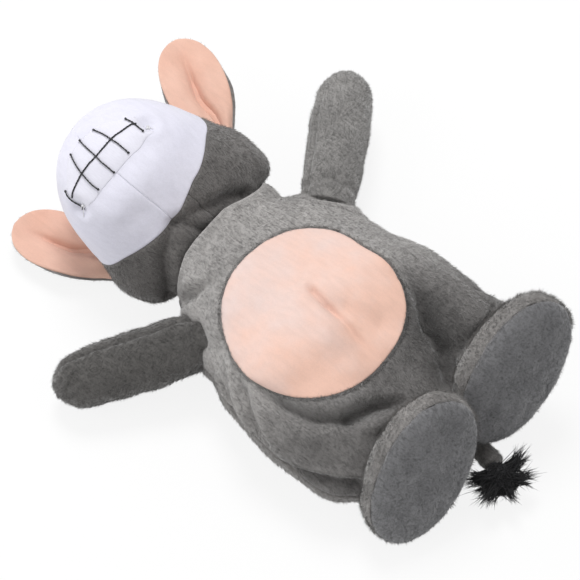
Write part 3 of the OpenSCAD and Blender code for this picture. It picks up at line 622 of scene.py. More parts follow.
class Nodes:
    """Short way to add and join a material's nodes."""

    def __init__(self, name):
        self.mat = bpy.data.materials.new(name)
        self.mat.use_nodes = True
        self.tree = self.mat.node_tree
        self.shader = self.tree.nodes["Principled BSDF"]
        self.place = self.tree.nodes.new("ShaderNodeTexCoord").outputs["Object"]

    def feed(self, value, socket):
        """Sets a socket to a value, or links it to another node's socket."""
        if isinstance(value, bpy.types.NodeSocket):
            self.tree.links.new(value, socket)
        else:
            socket.default_value = value

    def add(self, kind, **values):
        node = self.tree.nodes.new(kind)
        for key, value in values.items():
            if hasattr(node, key):
                setattr(node, key, value)
            else:
                self.feed(value, node.inputs[key.replace("_", " ")])
        return node

    def noise(self, scale, detail=3.0, rough=0.55, stretch=(1, 1, 1)):
        place = self.add("ShaderNodeMapping", Scale=stretch, Vector=self.place).outputs[0]
        node = self.add("ShaderNodeTexNoise", Scale=scale, Detail=detail, Roughness=rough, Vector=place)
        return node.outputs["Fac"]

    def bands(self, direction, scale, distortion):
        node = self.add("ShaderNodeTexWave", wave_type="BANDS", bands_direction=direction, Scale=scale,
                        Distortion=distortion, Detail=1.0, Vector=self.place)
        return node.outputs["Fac"]

    def slope(self, axis, start, end):
        """Goes from 0 to 1 between two places along an axis, in metres."""
        split = self.add("ShaderNodeSeparateXYZ", Vector=self.place)
        node = self.add("ShaderNodeMapRange", interpolation_type="SMOOTHSTEP", From_Min=start, From_Max=end,
                        Value=split.outputs[axis])
        return node.outputs["Result"]

    def ramp(self, value, *stops):
        node = self.add("ShaderNodeValToRGB", Fac=value)
        e = node.color_ramp.elements
        while len(e) < len(stops):
            e.new(0.5)
        for i, (at, colour) in enumerate(stops):
            e[i].position = at
            e[i].color = colour
        return node.outputs["Color"]

    def mottle(self, value, colour, dark, light=1.0, at=(0.3, 0.7)):
        """A colour that goes from dark to light."""
        return self.ramp(value, (at[0], shade(colour, dark)), (at[1], shade(colour, light)))

    def tint(self, colour, *shades, share=1.0):
        """Multiplies a colour by shades, one after another."""
        for shade_of in shades:
            node = self.add("ShaderNodeMix", data_type="RGBA", blend_type="MULTIPLY")
            for i, v in ((0, share), (6, colour), (7, shade_of)):
                self.feed(v, node.inputs[i])
            colour = node.outputs[2]
        return colour

    def math(self, way, a, b):
        node = self.add("ShaderNodeMath", operation=way)
        self.feed(a, node.inputs[0])
        self.feed(b, node.inputs[1])
        return node.outputs[0]

    def finish(self, colour, height, strength, distance, rough, sheen=0.0, sheen_rough=0.5, specular=0.5, **more):
        bump = self.add("ShaderNodeBump", Strength=strength, Distance=distance, Height=height)
        values = {"Base_Color": colour, "Normal": bump.outputs["Normal"], "Roughness": rough, "Sheen_Weight": sheen,
                  "Sheen_Roughness": sheen_rough, "Specular_IOR_Level": specular}
        for key, value in (values | more).items():
            self.feed(value, self.shader.inputs[key.replace("_", " ")])
        return self.mat


def plush(name, colour, contrast=0.16, low=0.0):
    """Short pile cloth: mottled nap, streaks of fibre, soft sheen; low paints shade on it towards the feet and in the
    hollow by the left leg.
    """
    m = Nodes(name)
    patches = m.mottle(m.noise(34), colour, 1 - contrast, 1 + contrast)
    streaks = m.noise(1.0, 3.0, 0.6, (900, 260, 900))
    fibre = m.ramp(streaks, (0.30, shade(WHITE, 0.55)), (0.52, shade(WHITE, 0.95)), (0.72, WHITE))
    grain = m.mottle(m.noise(1500, 2.0, 0.7), WHITE, 0.8, at=(0.30, 0.65))
    tone = m.tint(patches, fibre, grain)
    if low:
        # painted shade: darker towards the feet, in patches
        painted_shade = m.math("ADD", m.slope(1, 0.005, -0.055), m.math("MULTIPLY", m.math("SUBTRACT", m.noise(22), 0.5), 0.5))
        tone = m.tint(tone, m.mottle(painted_shade, WHITE, 1.0, 1 - low, (0, 1)))
        # painted shade in the hollow by the left leg
        painted_shade = m.math("MULTIPLY", m.slope(0, -0.012, 0.012), m.slope(0, 0.042, 0.028))
        painted_shade = m.math("MULTIPLY", painted_shade, m.slope(1, -0.012, -0.045))
        tone = m.tint(tone, m.mottle(painted_shade, WHITE, 1.0, 0.6, (0, 1)))
    return m.finish(tone, m.math("ADD", streaks, m.noise(1100, 3.0, 0.6)), 0.45, 0.0009, 0.92, 0.6, 0.45, 0.12)


def velour(name, colour, deep, low_shade=0.0):
    """Smooth short velour of the patch, ear linings and muzzle; a share of painted shade deepens it towards the feet.
    """
    m = Nodes(name)
    cloud = m.noise(26, 4.0)
    # painted shade: the colour deepens towards the feet
    if low_shade:
        cloud = m.math("SUBTRACT", cloud, m.math("MULTIPLY", m.slope(1, 0.03, -0.04), low_shade))
    patches = m.ramp(cloud, (0.20, deep), (0.62, colour))
    fine = m.mottle(m.noise(1300, 3.0, 0.7), WHITE, 0.94, at=(0.30, 0.66))
    brushed = m.mottle(m.noise(1.0, 3.0, 0.55, (420, 70, 420)), WHITE, 0.95, at=(0.32, 0.62))
    tone = m.tint(patches, brushed, fine)
    height = m.math("ADD", m.noise(1500, 3.0, 0.65), m.noise(300, 2.0, 0.5))
    return m.finish(tone, height, 0.22, 0.0006, 0.88, 0.35, 0.4, 0.15)


def knit(name, colour):
    """Fine knitted lining with rows of loops."""
    m = Nodes(name)
    loops = m.math("MULTIPLY", m.bands("X", 520.0, 1.2), m.bands("Y", 430.0, 1.5))
    tone = m.mottle(loops, colour, 0.62, 1.1, (0, 0.7))
    worn = m.mottle(m.noise(60), WHITE, 0.7)
    return m.finish(m.tint(tone, worn, share=0.35), loops, 0.5, 0.0006, 0.9, 0.25, 0.5, 0.15)


def satin(name, colour):
    """Smooth satin with long floats and a soft gleam."""
    m = Nodes(name)
    floats = m.noise(1.0, 2.0, 0.5, (2200, 240, 2200))
    tone = m.tint(m.mottle(floats, colour, 0.93), m.mottle(m.noise(45), WHITE, 0.95))
    return m.finish(tone, floats, 0.18, 0.0003, 0.55, 0.2, specular=0.3)


def thread(name, colour, rough=0.6, fine=2600, dark=0.7, light=1.35, depth=0.0002, sheen=0.3):
    """Spun thread, or fur."""
    m = Nodes(name)
    ply = m.noise(fine, 2.0, 0.6)
    return m.finish(m.mottle(ply, colour, dark, light), ply, 0.3, depth, rough, sheen, specular=0.3)


def bead(name):
    """Polished black safety eye with faint moulding marks."""
    m = Nodes(name)
    tone = m.ramp(m.noise(220), (0.3, (0.006, 0.006, 0.007, 1.0)), (0.7, (0.013, 0.012, 0.012, 1.0)))
    rough = m.math("MULTIPLY", m.noise(500, 2.0), 0.28)
    return m.finish(tone, m.noise(90, 2.0), 0.04, 0.0003, rough, specular=0.55, Coat_Weight=0.4, Coat_Roughness=0.08)


def moulded(name, colour):
    """Matt moulded plastic."""
    m = Nodes(name)
    return m.finish(m.mottle(m.noise(300), colour, 0.88), m.noise(900, 2.0), 0.1, 0.0002, 0.55)


# One grey plush in lit and shaded copies: the greys of the pieces differ by painted light and shade, the body lightest,
# the right arm darkest.
LIT_AND_SHADED_GREYS = {
    "back": (145, 142, 140), "head": (119, 116, 114), "left_arm": (148, 146, 144), "right_arm": (101, 99, 97),
    "foot": (150, 147, 145), "ear": (138, 135, 133), "tail": (138, 135, 133),
}
M = {key: plush("grey_plush_" + key, srgb(*rgb)) for key, rgb in LIT_AND_SHADED_GREYS.items()} | {
    # the body's lit copy, with painted shade towards the feet and in the hollow by the left leg
    "body": plush("grey_plush_body", srgb(180, 177, 175), low=0.5),
    "sole": plush("sole_plush", srgb(135, 135, 137), contrast=0.10),
    # the belly patch, with painted shade towards the feet
    "peach": velour("peach_velour", srgb(228, 209, 204), srgb(238, 197, 179), low_shade=0.30),
    "lining": velour("peach_ear_lining", srgb(230, 189, 171), srgb(222, 174, 154)),
    "white": velour("white_velour", srgb(229, 228, 240), srgb(223, 222, 236)),
    "knit": knit("grey_knit_lining", srgb(120, 118, 116)),
    "satin": satin("white_satin", srgb(229, 228, 239)),
    "black_thread": thread("black_thread", srgb(34, 34, 38)),
    "white_thread": thread("white_thread", srgb(228, 227, 236), 0.35),
    "grey_thread": thread("grey_thread", srgb(110, 108, 107)),
    "fur": thread("black_fur", srgb(27, 27, 29), 0.65, 1800, 0.6, 1.7, 0.0003, 0.12),
    "bead": bead("eye_bead"),
    "washer": moulded("washer_plastic", srgb(225, 225, 220)),
}


# ---- putting pieces on the frame

def stands_for(nodes):
    if nodes:
        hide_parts(*nodes)


def on(obj, body, *nodes, slot="grey_plush"):
    """obj moves with a body and stands for these CAD nodes."""
    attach(obj, body)
    stands_for(nodes)


def across(obj, a, b, bend, *nodes, slot="grey_plush"):
    """obj has its place baked into its mesh and stands for these CAD nodes; the two bodies and the bend from one place
    to another are not used.
    """
    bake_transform(obj)
    stands_for(nodes)


def cut_flat(grid, wrap=False, disc=False):
    """Works out the flat size a sheet's cloth was cut to, and keeps none of it. A disc's rows run from its middle out.
    """
    ring = np.concatenate([grid, grid[:, :1]], 1) if wrap else grid
    wide = steps(ring, 1).sum(1).max()
    rays = steps(grid).sum(0)
    tall = rays.max()
    if disc:
        spans = rays + np.roll(rays, len(rays) // 2)
        wide, tall = spans[0], spans[len(rays) // 4]
    wide, tall, area = wide * MM, tall * MM, areas(grid, wrap)[1].sum() * MM * MM


# ---- glove

NECK_BEND = vec(2, 50, 22.4), vec(2, 69, 22.4)
PANEL_ROWS = 160
FRONT_U, BACK_U = np.linspace(0.02, 179.98, 240)[::-1], np.linspace(180.02, 359.98, 180)[::-1]
ARM_HOLE = 11.5
FRINGE_HAIRS = 2600


def neck_lip(u, rim):
    """Gathered lip that draws the wide neck edge in to the neck ring."""
    r = np.radians(u)
    ring = xyz(NECK[0] + 21.5 * np.cos(r), 62.5 - 3.5 * np.sin(r), NECK[2] + 21.5 * np.sin(r))
    rows = []
    for t in np.linspace(0.04, 1, 16):
        p = lerp(rim, ring, t)
        p[:, 1] += 1.8 * math.sin(math.pi * min(1, 3 * t)) - 2.5 * math.sin(math.pi * t) - 0.5 * np.sin(u * 0.42) * t
        rows.append(p)
    return np.stack(rows)


def panel_places(u):
    """Angles and places of a panel's points, from the hem to the neck edge."""
    t, around = mesh_of(np.linspace(0, 1, PANEL_ROWS), u)
    return around, lerp(hem_y(around), rim_y(around), t)


def to_neck(obj, *nodes, slot="grey_plush"):
    """obj goes to across with the glove, the neck and the neck's bend, which across does not use."""
    across(obj, "glove", "neck", NECK_BEND, *nodes, slot=slot)


skins = {}
for part, u, material in (("front", FRONT_U, "body"), ("back", BACK_U, "back")):
    skin = body_skin(*panel_places(u))
    grid = np.concatenate([skin, neck_lip(u, skin[-1])])
    piece, skins[part] = cloth("glove_" + part, grid, material, 2.6, 0.9, 3.5, keep=lambda p: off_arm(p) > ARM_HOLE)
    to_neck(piece, "body_" + part)
    cut_flat(grid)

share, angle = mesh_of(np.concatenate([[0.0005, 0.003], np.linspace(0.04, 0.9, 52), np.linspace(0.91, 1.0, 12)]),
                       np.linspace(0, 2 * math.pi, 180, endpoint=False))
belly_grid = outward(body_skin(*on_patch(share, angle), True), vec(-8, -2, 20), True)
belly, _ = cloth("belly", belly_grid, "peach", 1.0, 0.5, 1.8, "t", True)
to_neck(belly, "belly_patch", slot="peach_plush")
cut_flat(belly_grid, True, True)


def inside_hem(u, over, depth):
    """Points inside the glove, over its hem."""
    y = hem_y(u) + over
    return body_skin(u, y) - depth * glove_normal(u, y)


over, around = mesh_of(np.linspace(0.5, 11, 14), 240, True)
hem_grid = inside_hem(around, over, 3.4)
hem_grid[..., 1] += 0.3 * lumps(hem_grid, 9, 5)
hem_grid = outward(hem_grid, vec(-10, -60, 200), True)
hem_lining, _ = cloth("hem_lining", hem_grid, "knit", 1.2, 0.5, 2.0, "bt", True)
on(hem_lining, "glove", "hem_band", slot="grey_lining")
cut_flat(hem_grid, True)
stitches = []
for u in np.arange(0, 360, 3.75):
    stitches.append(tube(inside_hem(np.linspace(u, u + 2.2, 6), 9.5, 4.9), 0.3, 6))
on(closed("hem_stitches", stitches, "grey_thread"), "glove", slot="grey_lining")


def combed_down(p):
    return xyz(0.25 * np.sign(p[:, 0]), -1.0, 0.0)


to_neck(pile("glove_front_pile", skins["front"][:PANEL_ROWS], "body", 1.5, 2.2, combed_down, width=0.18, seed=91,
             keep=lambda p: off_arm(p) > ARM_HOLE + 0.5, bare=patch_share(*panel_places(FRONT_U)) < 0.985))
to_neck(pile("glove_back_pile", skins["back"][:PANEL_ROWS], "back", 0.8, 2.2, combed_down, seed=92,
             keep=lambda p: (p[:, 2] > 1.0) & (off_arm(p) > ARM_HOLE + 0.5)))
r = np.random.default_rng(19)
u, y = on_patch(1.005 + 0.03 * r.random(FRINGE_HAIRS), r.random(FRINGE_HAIRS) * 2 * math.pi)
root, up = body_skin(u, y), glove_normal(u, y)
inwards = glove_at(*PATCH_MID) - root
inwards = unit(inwards - up * (inwards * up).sum(-1, keepdims=True))
to_neck(strands("belly_fringe", root, inwards * 0.6 + up * 0.6 + 0.4 * r.normal(size=root.shape),
                1.2 + 1.3 * r.random(FRINGE_HAIRS), 0.15, "body", 23))


# ---- neck ring

RING = np.linspace(0, 2 * math.pi, 160, endpoint=False)
POCKET_MOUTH, POCKET_HOLE = NECK[1] - 14.31, 12.9


def turned(name, rings, body, node):
    """Knit piece turned about the neck's line, from a radius and a place along the body for each ring."""
    rings = [xyz(NECK[0] + r * np.cos(RING), y, NECK[2] + r * np.sin(RING)) for r, y in rings]
    on(build(name, np.stack(rings), [quads(len(rings), len(RING), True)], "knit"), body, node, slot="grey_lining")


profile = np.radians(np.linspace(41, 57, 10))
rings = [(BALL_R + 3.1 + 0.45 * np.sin(40 * RING), a) for a in profile]
rings += [(BALL_R + 0.9 + 0 * RING, a) for a in profile[::-1]]
rings = [(r * math.sin(a), NECK[1] - r * math.cos(a)) for r, a in rings + rings[:1]]
turned("neck_ring", rings, "neck", "neck_collar")


# ---- head

def clear_of_pocket(p):
    return (np.hypot(p[..., 0] - NECK[0], p[..., 2] - NECK[2]) > POCKET_HOLE) | (p[..., 1] > NECK[1])


BALL_ROWS, CHEEK_ROWS = 34, 72
HEAD_MID, MUZZLE_MID = out_of_head(vec(0, 30, -10)), out_of_head(vec(0, 75, -10))
ball_rows = -BALL_R * np.cos(np.radians(np.linspace(3, 115, BALL_ROWS)))
for side, low, high in (("left", -89.9, 89.9), ("right", 90.1, 269.9)):
    row, u = mesh_of(np.arange(BALL_ROWS + CHEEK_ROWS), np.linspace(low, high, 140))
    y = lerp(WAIST_Y, muzzle_seam(u) - 0.1, (row - BALL_ROWS + 1) / CHEEK_ROWS)
    y[:BALL_ROWS] = ball_rows[:, None]
    grid = outward(head_skin(u, y), HEAD_MID)
    piece, skin = cloth("head_" + side, grid, "head", 2.4, 0.5, 2.0, "tlr", keep=clear_of_pocket)
    on(piece, "head", f"head_{side}_panel", *(["head_filling"] if side == "left" else []))
    on(pile(f"head_{side}_pile", skin, "head", 1.0, 2.2, vec(0, -1, -0.5), seed=31 + (side == "left"),
            keep=lambda p: p[:, 1] > NECK[1] + 2), "head")

lathe = [(13.6, 1.9), (13.2, 0.4), (12.3, -0.3), (11.5, 0.1), (11.0, 1.2), (11.0, 12), (11.0, 24), (11.0, 36),
         (10.4, 43), (8.0, 46), (4.5, 46.5), (0.4, 46.6)]
rings = [(r + 0.12 * np.sin(24 * RING), POCKET_MOUTH + d) for r, d in lathe]
turned("pocket_lining", rings, "head", "finger_pocket")

tip_rows = np.concatenate([np.linspace(0, 0.8, 60), rounding(0.8, 1.0, 26)])
for side, start in (("left", -180), ("right", 0)):
    t, u = mesh_of(tip_rows, np.linspace(CHIN + start + 0.03, CHIN + start + 179.97, 140))
    grid = outward(head_skin(u, lerp(muzzle_seam(u) + 0.1, TIP_Y - 0.02, t)), MUZZLE_MID)
    piece, _ = cloth("muzzle_" + side, grid, "white", 2.2, 0.16, 1.2, "blr")
    on(piece, "head", f"muzzle_{side}_panel", *(["muzzle_filling"] if side == "left" else []), slot="white_plush")


# ---- mouth, nostrils and eyes

def grin(a, dy, lift):
    """Point of the mouth at an angle from its middle and a height over the grin."""
    a = 1.6 + 1.23 * np.asarray(a, float)
    return head_skin(CHIN + a * (1 + 0.014 * np.asarray(dy)), grin_y(a) + dy, lift)


def wobble(n, size, seed):
    r = np.random.default_rng(seed)
    return np.convolve(r.normal(size=n + 8), np.ones(5) / 5, "same")[4:-4] * size


def stitched(path, radius):
    path = resample(path, 0.35)
    return tube(path, radius, 9, 3.2, 0.16)


dy, a = mesh_of(np.linspace(-11.5, 8.5, 44), np.linspace(41, -41, 110))
rounded = 1 - 0.4 * ease((np.abs(a) - 24) / 17)
satin_grid = outward(grin(a, -1.5 + (dy + 1.5) * rounded, 0.28), MUZZLE_MID)
mouth, _ = cloth("mouth_satin", satin_grid, "satin", 1.2, 0.3, 1.5)
on(mouth, "head", "mouth_patch", slot="satin")
cut_flat(satin_grid)

line = stitched(grin(np.linspace(-37.5, 37.5, 90), wobble(90, 0.15, 5), 0.7), 0.40)
on(closed("grin_thread", [line], "black_thread"), "head", "grin_stitch", slot="black_thread")
teeth = []
for k, (a, below, over) in enumerate(((-36, -5, 4), (-18, -9.5, 7.5), (0, -10.5, 8.5), (18, -10, 8), (39.5, -6, 4.5))):
    d = np.linspace(below, over, 24)
    path = grin(a + wobble(24, 0.25, 20 + k), d, 1.0 - 0.3 * np.abs(d / 9.5) ** 4)
    teeth.append(stitched(path, 0.38))
    for end in (path[0], path[-1]):
        t = np.linspace(0, 2 * math.pi, 14)
        teeth.append(tube(end + 0.45 * xyz(np.cos(t), np.sin(t), 0.5 * np.sin(2 * t)), 0.28, 6))
on(closed("tooth_threads", teeth, "black_thread"), "head", "tooth_stitches", slot="black_thread")
knots = []
for side, low in ((-1, -3.5), (1, -6.0)):
    middle = grin(side * (38.8 + 2.2 * (side < 0)) - 2.3 * (side > 0), low, 0.9)
    t = np.linspace(0, 2 * math.pi, 60)
    loop = xyz(np.sin(t) + 2 * np.sin(2 * t), np.cos(t) - 2 * np.cos(2 * t), -np.sin(3 * t))
    knots.append(tube(middle + 0.36 * loop, 0.36, 8, 3.0, 0.12))
    for da, dy in ((4.0, -1.6), (3.6, 2.0)):
        end = grin(side * (38.5 + da), low + dy, 0.4)
        path = resample(np.stack([middle, (middle + end) / 2 + vec(0, 0, 0.5), end]), 0.4)
        knots.append(tube(path, np.linspace(0.3, 0.18, len(path)), 6))
on(closed("corner_knots", knots, "white_thread"), "head", "mouth_corner_knots", slot="white_thread")

nostrils = []
for side in (-1, 1):
    for k in np.linspace(-1, 1, 11):
        t = np.linspace(-1, 1, 9)
        place = lerp(HEAD_LEN, TIP_Y, 0.82) + 3.4 * math.sqrt(max(1 - k * k, 0.05)) * t
        lift = 0.15 + 0.75 * np.sqrt(1 - 0.9 * t * t)
        path = head_skin(CHIN + 180 + side * 38 + 5.2 * k + 0 * t, place, lift)
        nostrils.append(tube(resample(path, 0.5), 0.45, 7, 3.0, 0.12))
on(closed("nostrils", nostrils, "grey_thread"), "head", "nostril_stitches", slot="black_thread")
for node, material in (("left_eye", "bead"), ("right_eye", "bead"), ("eye_washers", "washer")):
    NODES[node].data.materials.clear()
    NODES[node].data.materials.append(M[material])

HAIRS = 700
r = np.random.default_rng(77)
place = lerp(lerp(WAIST_Y, HEAD_LEN, 0.9), lerp(HEAD_LEN, TIP_Y, 0.3), r.random(HAIRS))
root = head_skin(CHIN + 180 + 4.5 * r.normal(size=HAIRS), place)
ways = HEAD_TURN @ vec(0, 0.9, -0.55) + 0.25 * r.normal(size=(HAIRS, 3))
hairs = strands("forelock_fur", root, ways, 6 + 7 * r.random(HAIRS), 0.3, "fur", 5)
on(hairs, "head", "forelock", slot="black_fur")


# ---- ears

EAR_W = [[-0.3, 6], [-0.08, 10], [0, 12], [0.2, 16.2], [0.45, 18.2], [0.7, 17], [0.88, 12.4], [0.97, 6.2], [1, 0.6]]


def ear_pt(side, t, s, z):
    """Point of an ear at a share of its length and of its half width, and a height over its middle."""
    t, s = np.broadcast_arrays(np.asarray(t, float), np.asarray(s, float))
    k = np.clip(t, 0, 1)
    edge = s * s + (1 - s * s) * k ** 10
    cup = 7 * (edge - 0.5) * np.minimum(1, k * 3) * (1 - 0.6 * k) - 2 * np.exp(-25 * s * s) * (1 - k)
    return xyz(s * along(EAR_W, t), EAR_LEN[side] * t, cup + z) @ turn("z", EAR_TURN[side]).T + EAR[side]


for side in SIDES:
    t, s = mesh_of(np.concatenate([np.linspace(-0.3, 0.85, 72), rounding(0.85, 1.0, 22)]), np.linspace(-1, 1, 70))
    full = np.sqrt(np.clip(1 - s ** 4, 0, 1) * np.clip(1 - np.clip(t, 0, 1) ** 10, 0, 1))
    off = s - 0.34 * ease((0.42 - t) / 0.4)
    crease = lerp(2.0, 6.5, ease((0.75 - t) / 0.5)) * bell(off, 0.10) * ease((0.92 - t) / 0.3)
    lobes = 2.4 * bell(np.abs(off) - 0.46, 0.28) * ease((0.95 - t) / 0.5)
    top = ear_pt(side, t, s, 0.3 + full * (2.8 + lobes - crease))
    top[..., 2] += 0.25 * lumps(top, 14, 8) * full
    piece = two_sided(side + "_ear_lining_cloth", top, ear_pt(side, t, s, 0.1), "lining")
    hinge = "head", side + "_ear", (ear_pt(side, 0.0, 0.0, 0.0), ear_pt(side, 0.3, 0.0, 0.0))
    across(piece, *hinge, side + "_ear_lining", slot="peach_plush")
    cut_flat(top)
    wide = s * (1 + 0.10 * ease((0.62 - t) / 0.35))
    under, upper = (ear_pt(side, t, wide, z)[:, ::-1] for z in (-0.3 - 2.4 * full, 0.05))
    piece = two_sided(side + "_ear_back_cloth", under, upper, "ear")
    across(piece, *hinge, side + "_ear_back")
    cut_flat(under)
    way = turn("z", EAR_TURN[side]) @ vec(0, 1, 0)
    across(pile(side + "_ear_pile", under, "ear", 0.9, 1.7, way, seed=51, lean=0.75), *hinge)


# ---- arms

ARM_W = [[-7, 14.5], [0, 15], [10.44, 15.6], [34.8, 16.4], [53.94, 16.3], [74.2, 13.9], [81.4, 9.92], [85.72, 4.48],
         [ARM_LEN, 0]]
ARM_SEAM = {"left": 126.0, "right": 150.0}


def arm_pt(side, theta, x, r):
    th, x, r = np.broadcast_arrays(np.radians(theta), x, r)
    return (xyz(r * np.cos(th), r * np.sin(th), x) @ ARM_TURN[side].T) * MIRROR[side] + SHOULDER[side]


for side in SIDES:
    x, theta = mesh_of(np.concatenate([np.linspace(-6.5, 75, 80), rounding(75, ARM_LEN - 0.02, 26)]), 96, True)
    r = np.maximum(along(ARM_W, x), 0.25)
    ends = ease((ARM_LEN - x) / 11)
    gap = np.abs((theta - ARM_SEAM[side] - 5 * np.sin(x / 22) + 180) % 360 - 180) * r * math.pi / 180
    flat = xyz(r * np.cos(np.radians(theta)), r * np.sin(np.radians(theta)), x)
    r = r + ends * (0.5 * bell(gap - 4, 2.6) - 1.1 * bell(gap, 1.2))
    r = r + ends * (0.9 * lumps(flat, 26, 14 + (side == "left")) + 0.35 * lumps(flat, 11, 16))
    r = r - 1.2 * bell(x - 4, 2.4) + 0.5 * np.sin(np.radians(9 * theta)) * bell(x - 7, 4)
    sleeve = arm_pt(side, theta, x, np.maximum(r, 0.2))
    straight = FINGER_LEN - FINGER_R
    depth = np.concatenate([[-6.5, -6.3], np.linspace(-4, straight, 14), rounding(straight, FINGER_LEN, 9)])
    tip = FINGER_R * np.cos(np.linspace(0, math.pi / 2, 9))[1:] + 0.2
    bore = np.concatenate([[12.4, 10.8], np.full(14, FINGER_R), tip])
    bore = arm_pt(side, theta[:1], depth[:, None], bore[:, None])
    if outward(sleeve, sleeve[50].mean(0), True) is not sleeve:
        sleeve, bore = sleeve[:, ::-1], bore[:, ::-1]
    piece = closed(side + "_arm_sleeve", [np.concatenate([bore[::-1], sleeve])], side + "_arm")
    bend = arm_pt(side, 0.0, -2.0, 0.0), arm_pt(side, 0.0, 12.0, 0.0)
    across(piece, "glove", side + "_arm", bend, side + "_arm")
    way = unit(bend[1] - bend[0]) + vec(0, -0.3, -0.5)
    tufts = pile(side + "_arm_pile", sleeve, side + "_arm", 1.1, 2.3, way, seed=61, wrap=True)
    across(tufts, "glove", side + "_arm", bend)


# ---- feet and legs

FOOT_TURN = turn("z", -24) @ turn("x", -26) @ turn("y", 38)
FOOT_X, FOOT_Y, FOOT_Z = FOOT_TURN.T
FOOT_TURN = {"left": FOOT_TURN, "right": FOOT_TURN @ turn("y", -5.5)}
FOOT_GROW = [[0, 0.98], [0.12, 1], [0.4, 0.98], [0.65, 0.82], [0.85, 0.55], [0.96, 0.26], [1, 0.05]]
LEG_RINGS = {  # place along the body, middle across, middle height, half width, half thickness
    "left": [(-52, 45, 43.0, 11, 2.5), (-60, 44, 41.5, 17, 3.5), (-66, 42.5, 40.5, 20.5, 6.0),
             (-73, 39.5, 35.5, 24.5, 9.5)],
    "right": [(-58, -49, 36.0, 15, 2.5), (-64, -48, 38.0, 19, 3.5), (-69, -45, 40.5, 18.5, 5.5),
              (-75, -43.5, 36.0, 20, 9.5)],
}
LEG_SLOPE = {"left": unit(vec(23, 0, -7.5)), "right": unit(vec(22.5, 0, 5))}


def foot_local(t, u):
    k, r = along(FOOT_GROW, t), np.radians(u)
    return xyz(27 * k * np.cos(r), 27 * t, 44 * k * bent(np.sin(r), 2.2) - 8 * t * t)


for side in SIDES:
    t, u = mesh_of(np.concatenate([np.linspace(0.0, 0.8, 40), rounding(0.8, 1.0, 16)]), 150, True)
    grid = outward(foot_local(t, u), vec(0, 10, 0), True)
    swell = 0.8 * lumps(grid, 24, 40 + (side == "left")) + 0.3 * lumps(grid, 9, 43)
    swell = swell + 0.5 * np.sin(np.radians(u * 17) + 2 * np.sin(np.radians(u * 3))) * np.exp(-t / 0.12)
    grid = grid + normals(grid, True) * (swell * ease((1.02 - t) / 0.1))[..., None]
    grid = grid @ FOOT_TURN[side].T + FOOT[side]
    upper, upper_skin = cloth(side + "_foot_upper_cloth", grid, "foot", 2.2, 0.3, 2.0, "b", True)
    on(upper, side + "_foot", side + "_foot_upper", side + "_foot_filling")
    rows = np.concatenate([[0.0005, 0.003], np.linspace(0.04, 0.88, 40), rounding(0.9, 1.0, 16)])
    share, u = mesh_of(rows, 150, True)
    flat = foot_local(np.zeros_like(share), u) * share[..., None]
    puff = 6.2 * np.sqrt(np.clip(1 - share ** 4, 0, 1))
    waves = 0.8 * np.sin(flat[..., 0] / 2.6 + 1.6 * np.sin(flat[..., 2] / 15)) * lumps(flat, 30, 48)
    waves = waves * ease((1 - share) / 0.4)
    pucker = 0.25 * np.sin(np.radians(u * 19) + np.sin(np.radians(u * 4))) * np.exp(-(1 - share) / 0.06)
    flat[..., 1] = -(puff + waves + pucker + 0.5 * lumps(flat, 18, 47))
    grid = outward(flat @ FOOT_TURN[side].T + FOOT[side], FOOT[side] + 20 * FOOT_Y, True)
    sole, sole_skin = cloth(side + "_sole_cloth", grid, "sole", 2.0, 0.3, 1.5, "t", True)
    on(sole, side + "_foot", side + "_sole", slot="sole_plush")
    on(pile(side + "_foot_pile", upper_skin, "foot", 1.5, 2.6, 0.35 * FOOT_Z - FOOT_Y, lean=0.62, width=0.18,
            seed=71, wrap=True), side + "_foot")
    on(pile(side + "_sole_pile", sole_skin, "sole", 1.4, 1.9, -FOOT_Z, width=0.18, seed=73, wrap=True),
       side + "_foot", slot="sole_plush")

    u = np.radians(np.linspace(0, 360, 110, endpoint=False))
    c, s = np.cos(u)[:, None], np.sin(u)[:, None]
    rise = np.cross(vec(0, 1, 0), LEG_SLOPE[side])
    rise *= np.sign(rise[2])
    ankle = FOOT[side] + 15 * FOOT_Y - 2 * FOOT_Z
    rings = [vec(x, y, z) + LEG_SLOPE[side] * wide * c + rise * thick * s
             for y, x, z, wide, thick in LEG_RINGS[side]]
    rings.append(ankle + FOOT_X * np.sign(FOOT_X @ LEG_SLOPE[side]) * 23 * c + FOOT_Z * 25 * s)
    at = np.linspace(0, 4, 64)
    leg_grid = through(np.stack(rings).reshape(5, -1), at).reshape(64, -1, 3)
    leg_grid = outward(leg_grid, leg_grid[32].mean(0), True)
    swell = 0.9 * lumps(leg_grid, 20, 81) + 0.35 * lumps(leg_grid, 9, 82)
    leg_grid = leg_grid + normals(leg_grid, True) * (swell * ease((at - 1.4) / 0.8)[:, None])[..., None]
    leg = closed(side + "_leg_cloth", [leg_grid], "body")
    bend = HIP[side] + vec(0, 7, 0), lerp(HIP[side], ankle, 0.7)
    across(leg, "glove", side + "_foot", bend, side + "_leg")
    tufts = pile(side + "_leg_pile", leg_grid, "body", 1.1, 2.4, vec(0, -1, 0.2), seed=83, wrap=True)
    across(tufts, "glove", side + "_foot", bend)


# ---- tail

knots = TAIL + vec([0.5, 5, 0.4], [0, 0, 0], [1, -16.1, 0], [2, -32.2, 0.5], [-2, -46, 5.5])
path = resample(through(knots, np.linspace(0, 4, 60)), 1.0)
run = np.arange(len(path))
radius = (5.6 + 0.3 * np.sin(run * 0.9) * np.sin(run * 0.23)) * np.minimum(1, 0.7 + 0.15 * run)
tail_grid = raised(outward(tube(path, radius, 40), path[len(path) // 2], True), 0.1)
tail = closed("tail_cloth", [tail_grid], "tail")
bend = TAIL + vec(0, 2, 0), TAIL + vec(0, -9, 0)
across(tail, "glove", "tail", bend, "tail_tube")
tufts = pile("tail_pile", tail_grid, "tail", 1.1, 2.0, vec(0, -1, 0.1), seed=95, wrap=True)
across(tufts, "glove", "tail", bend)

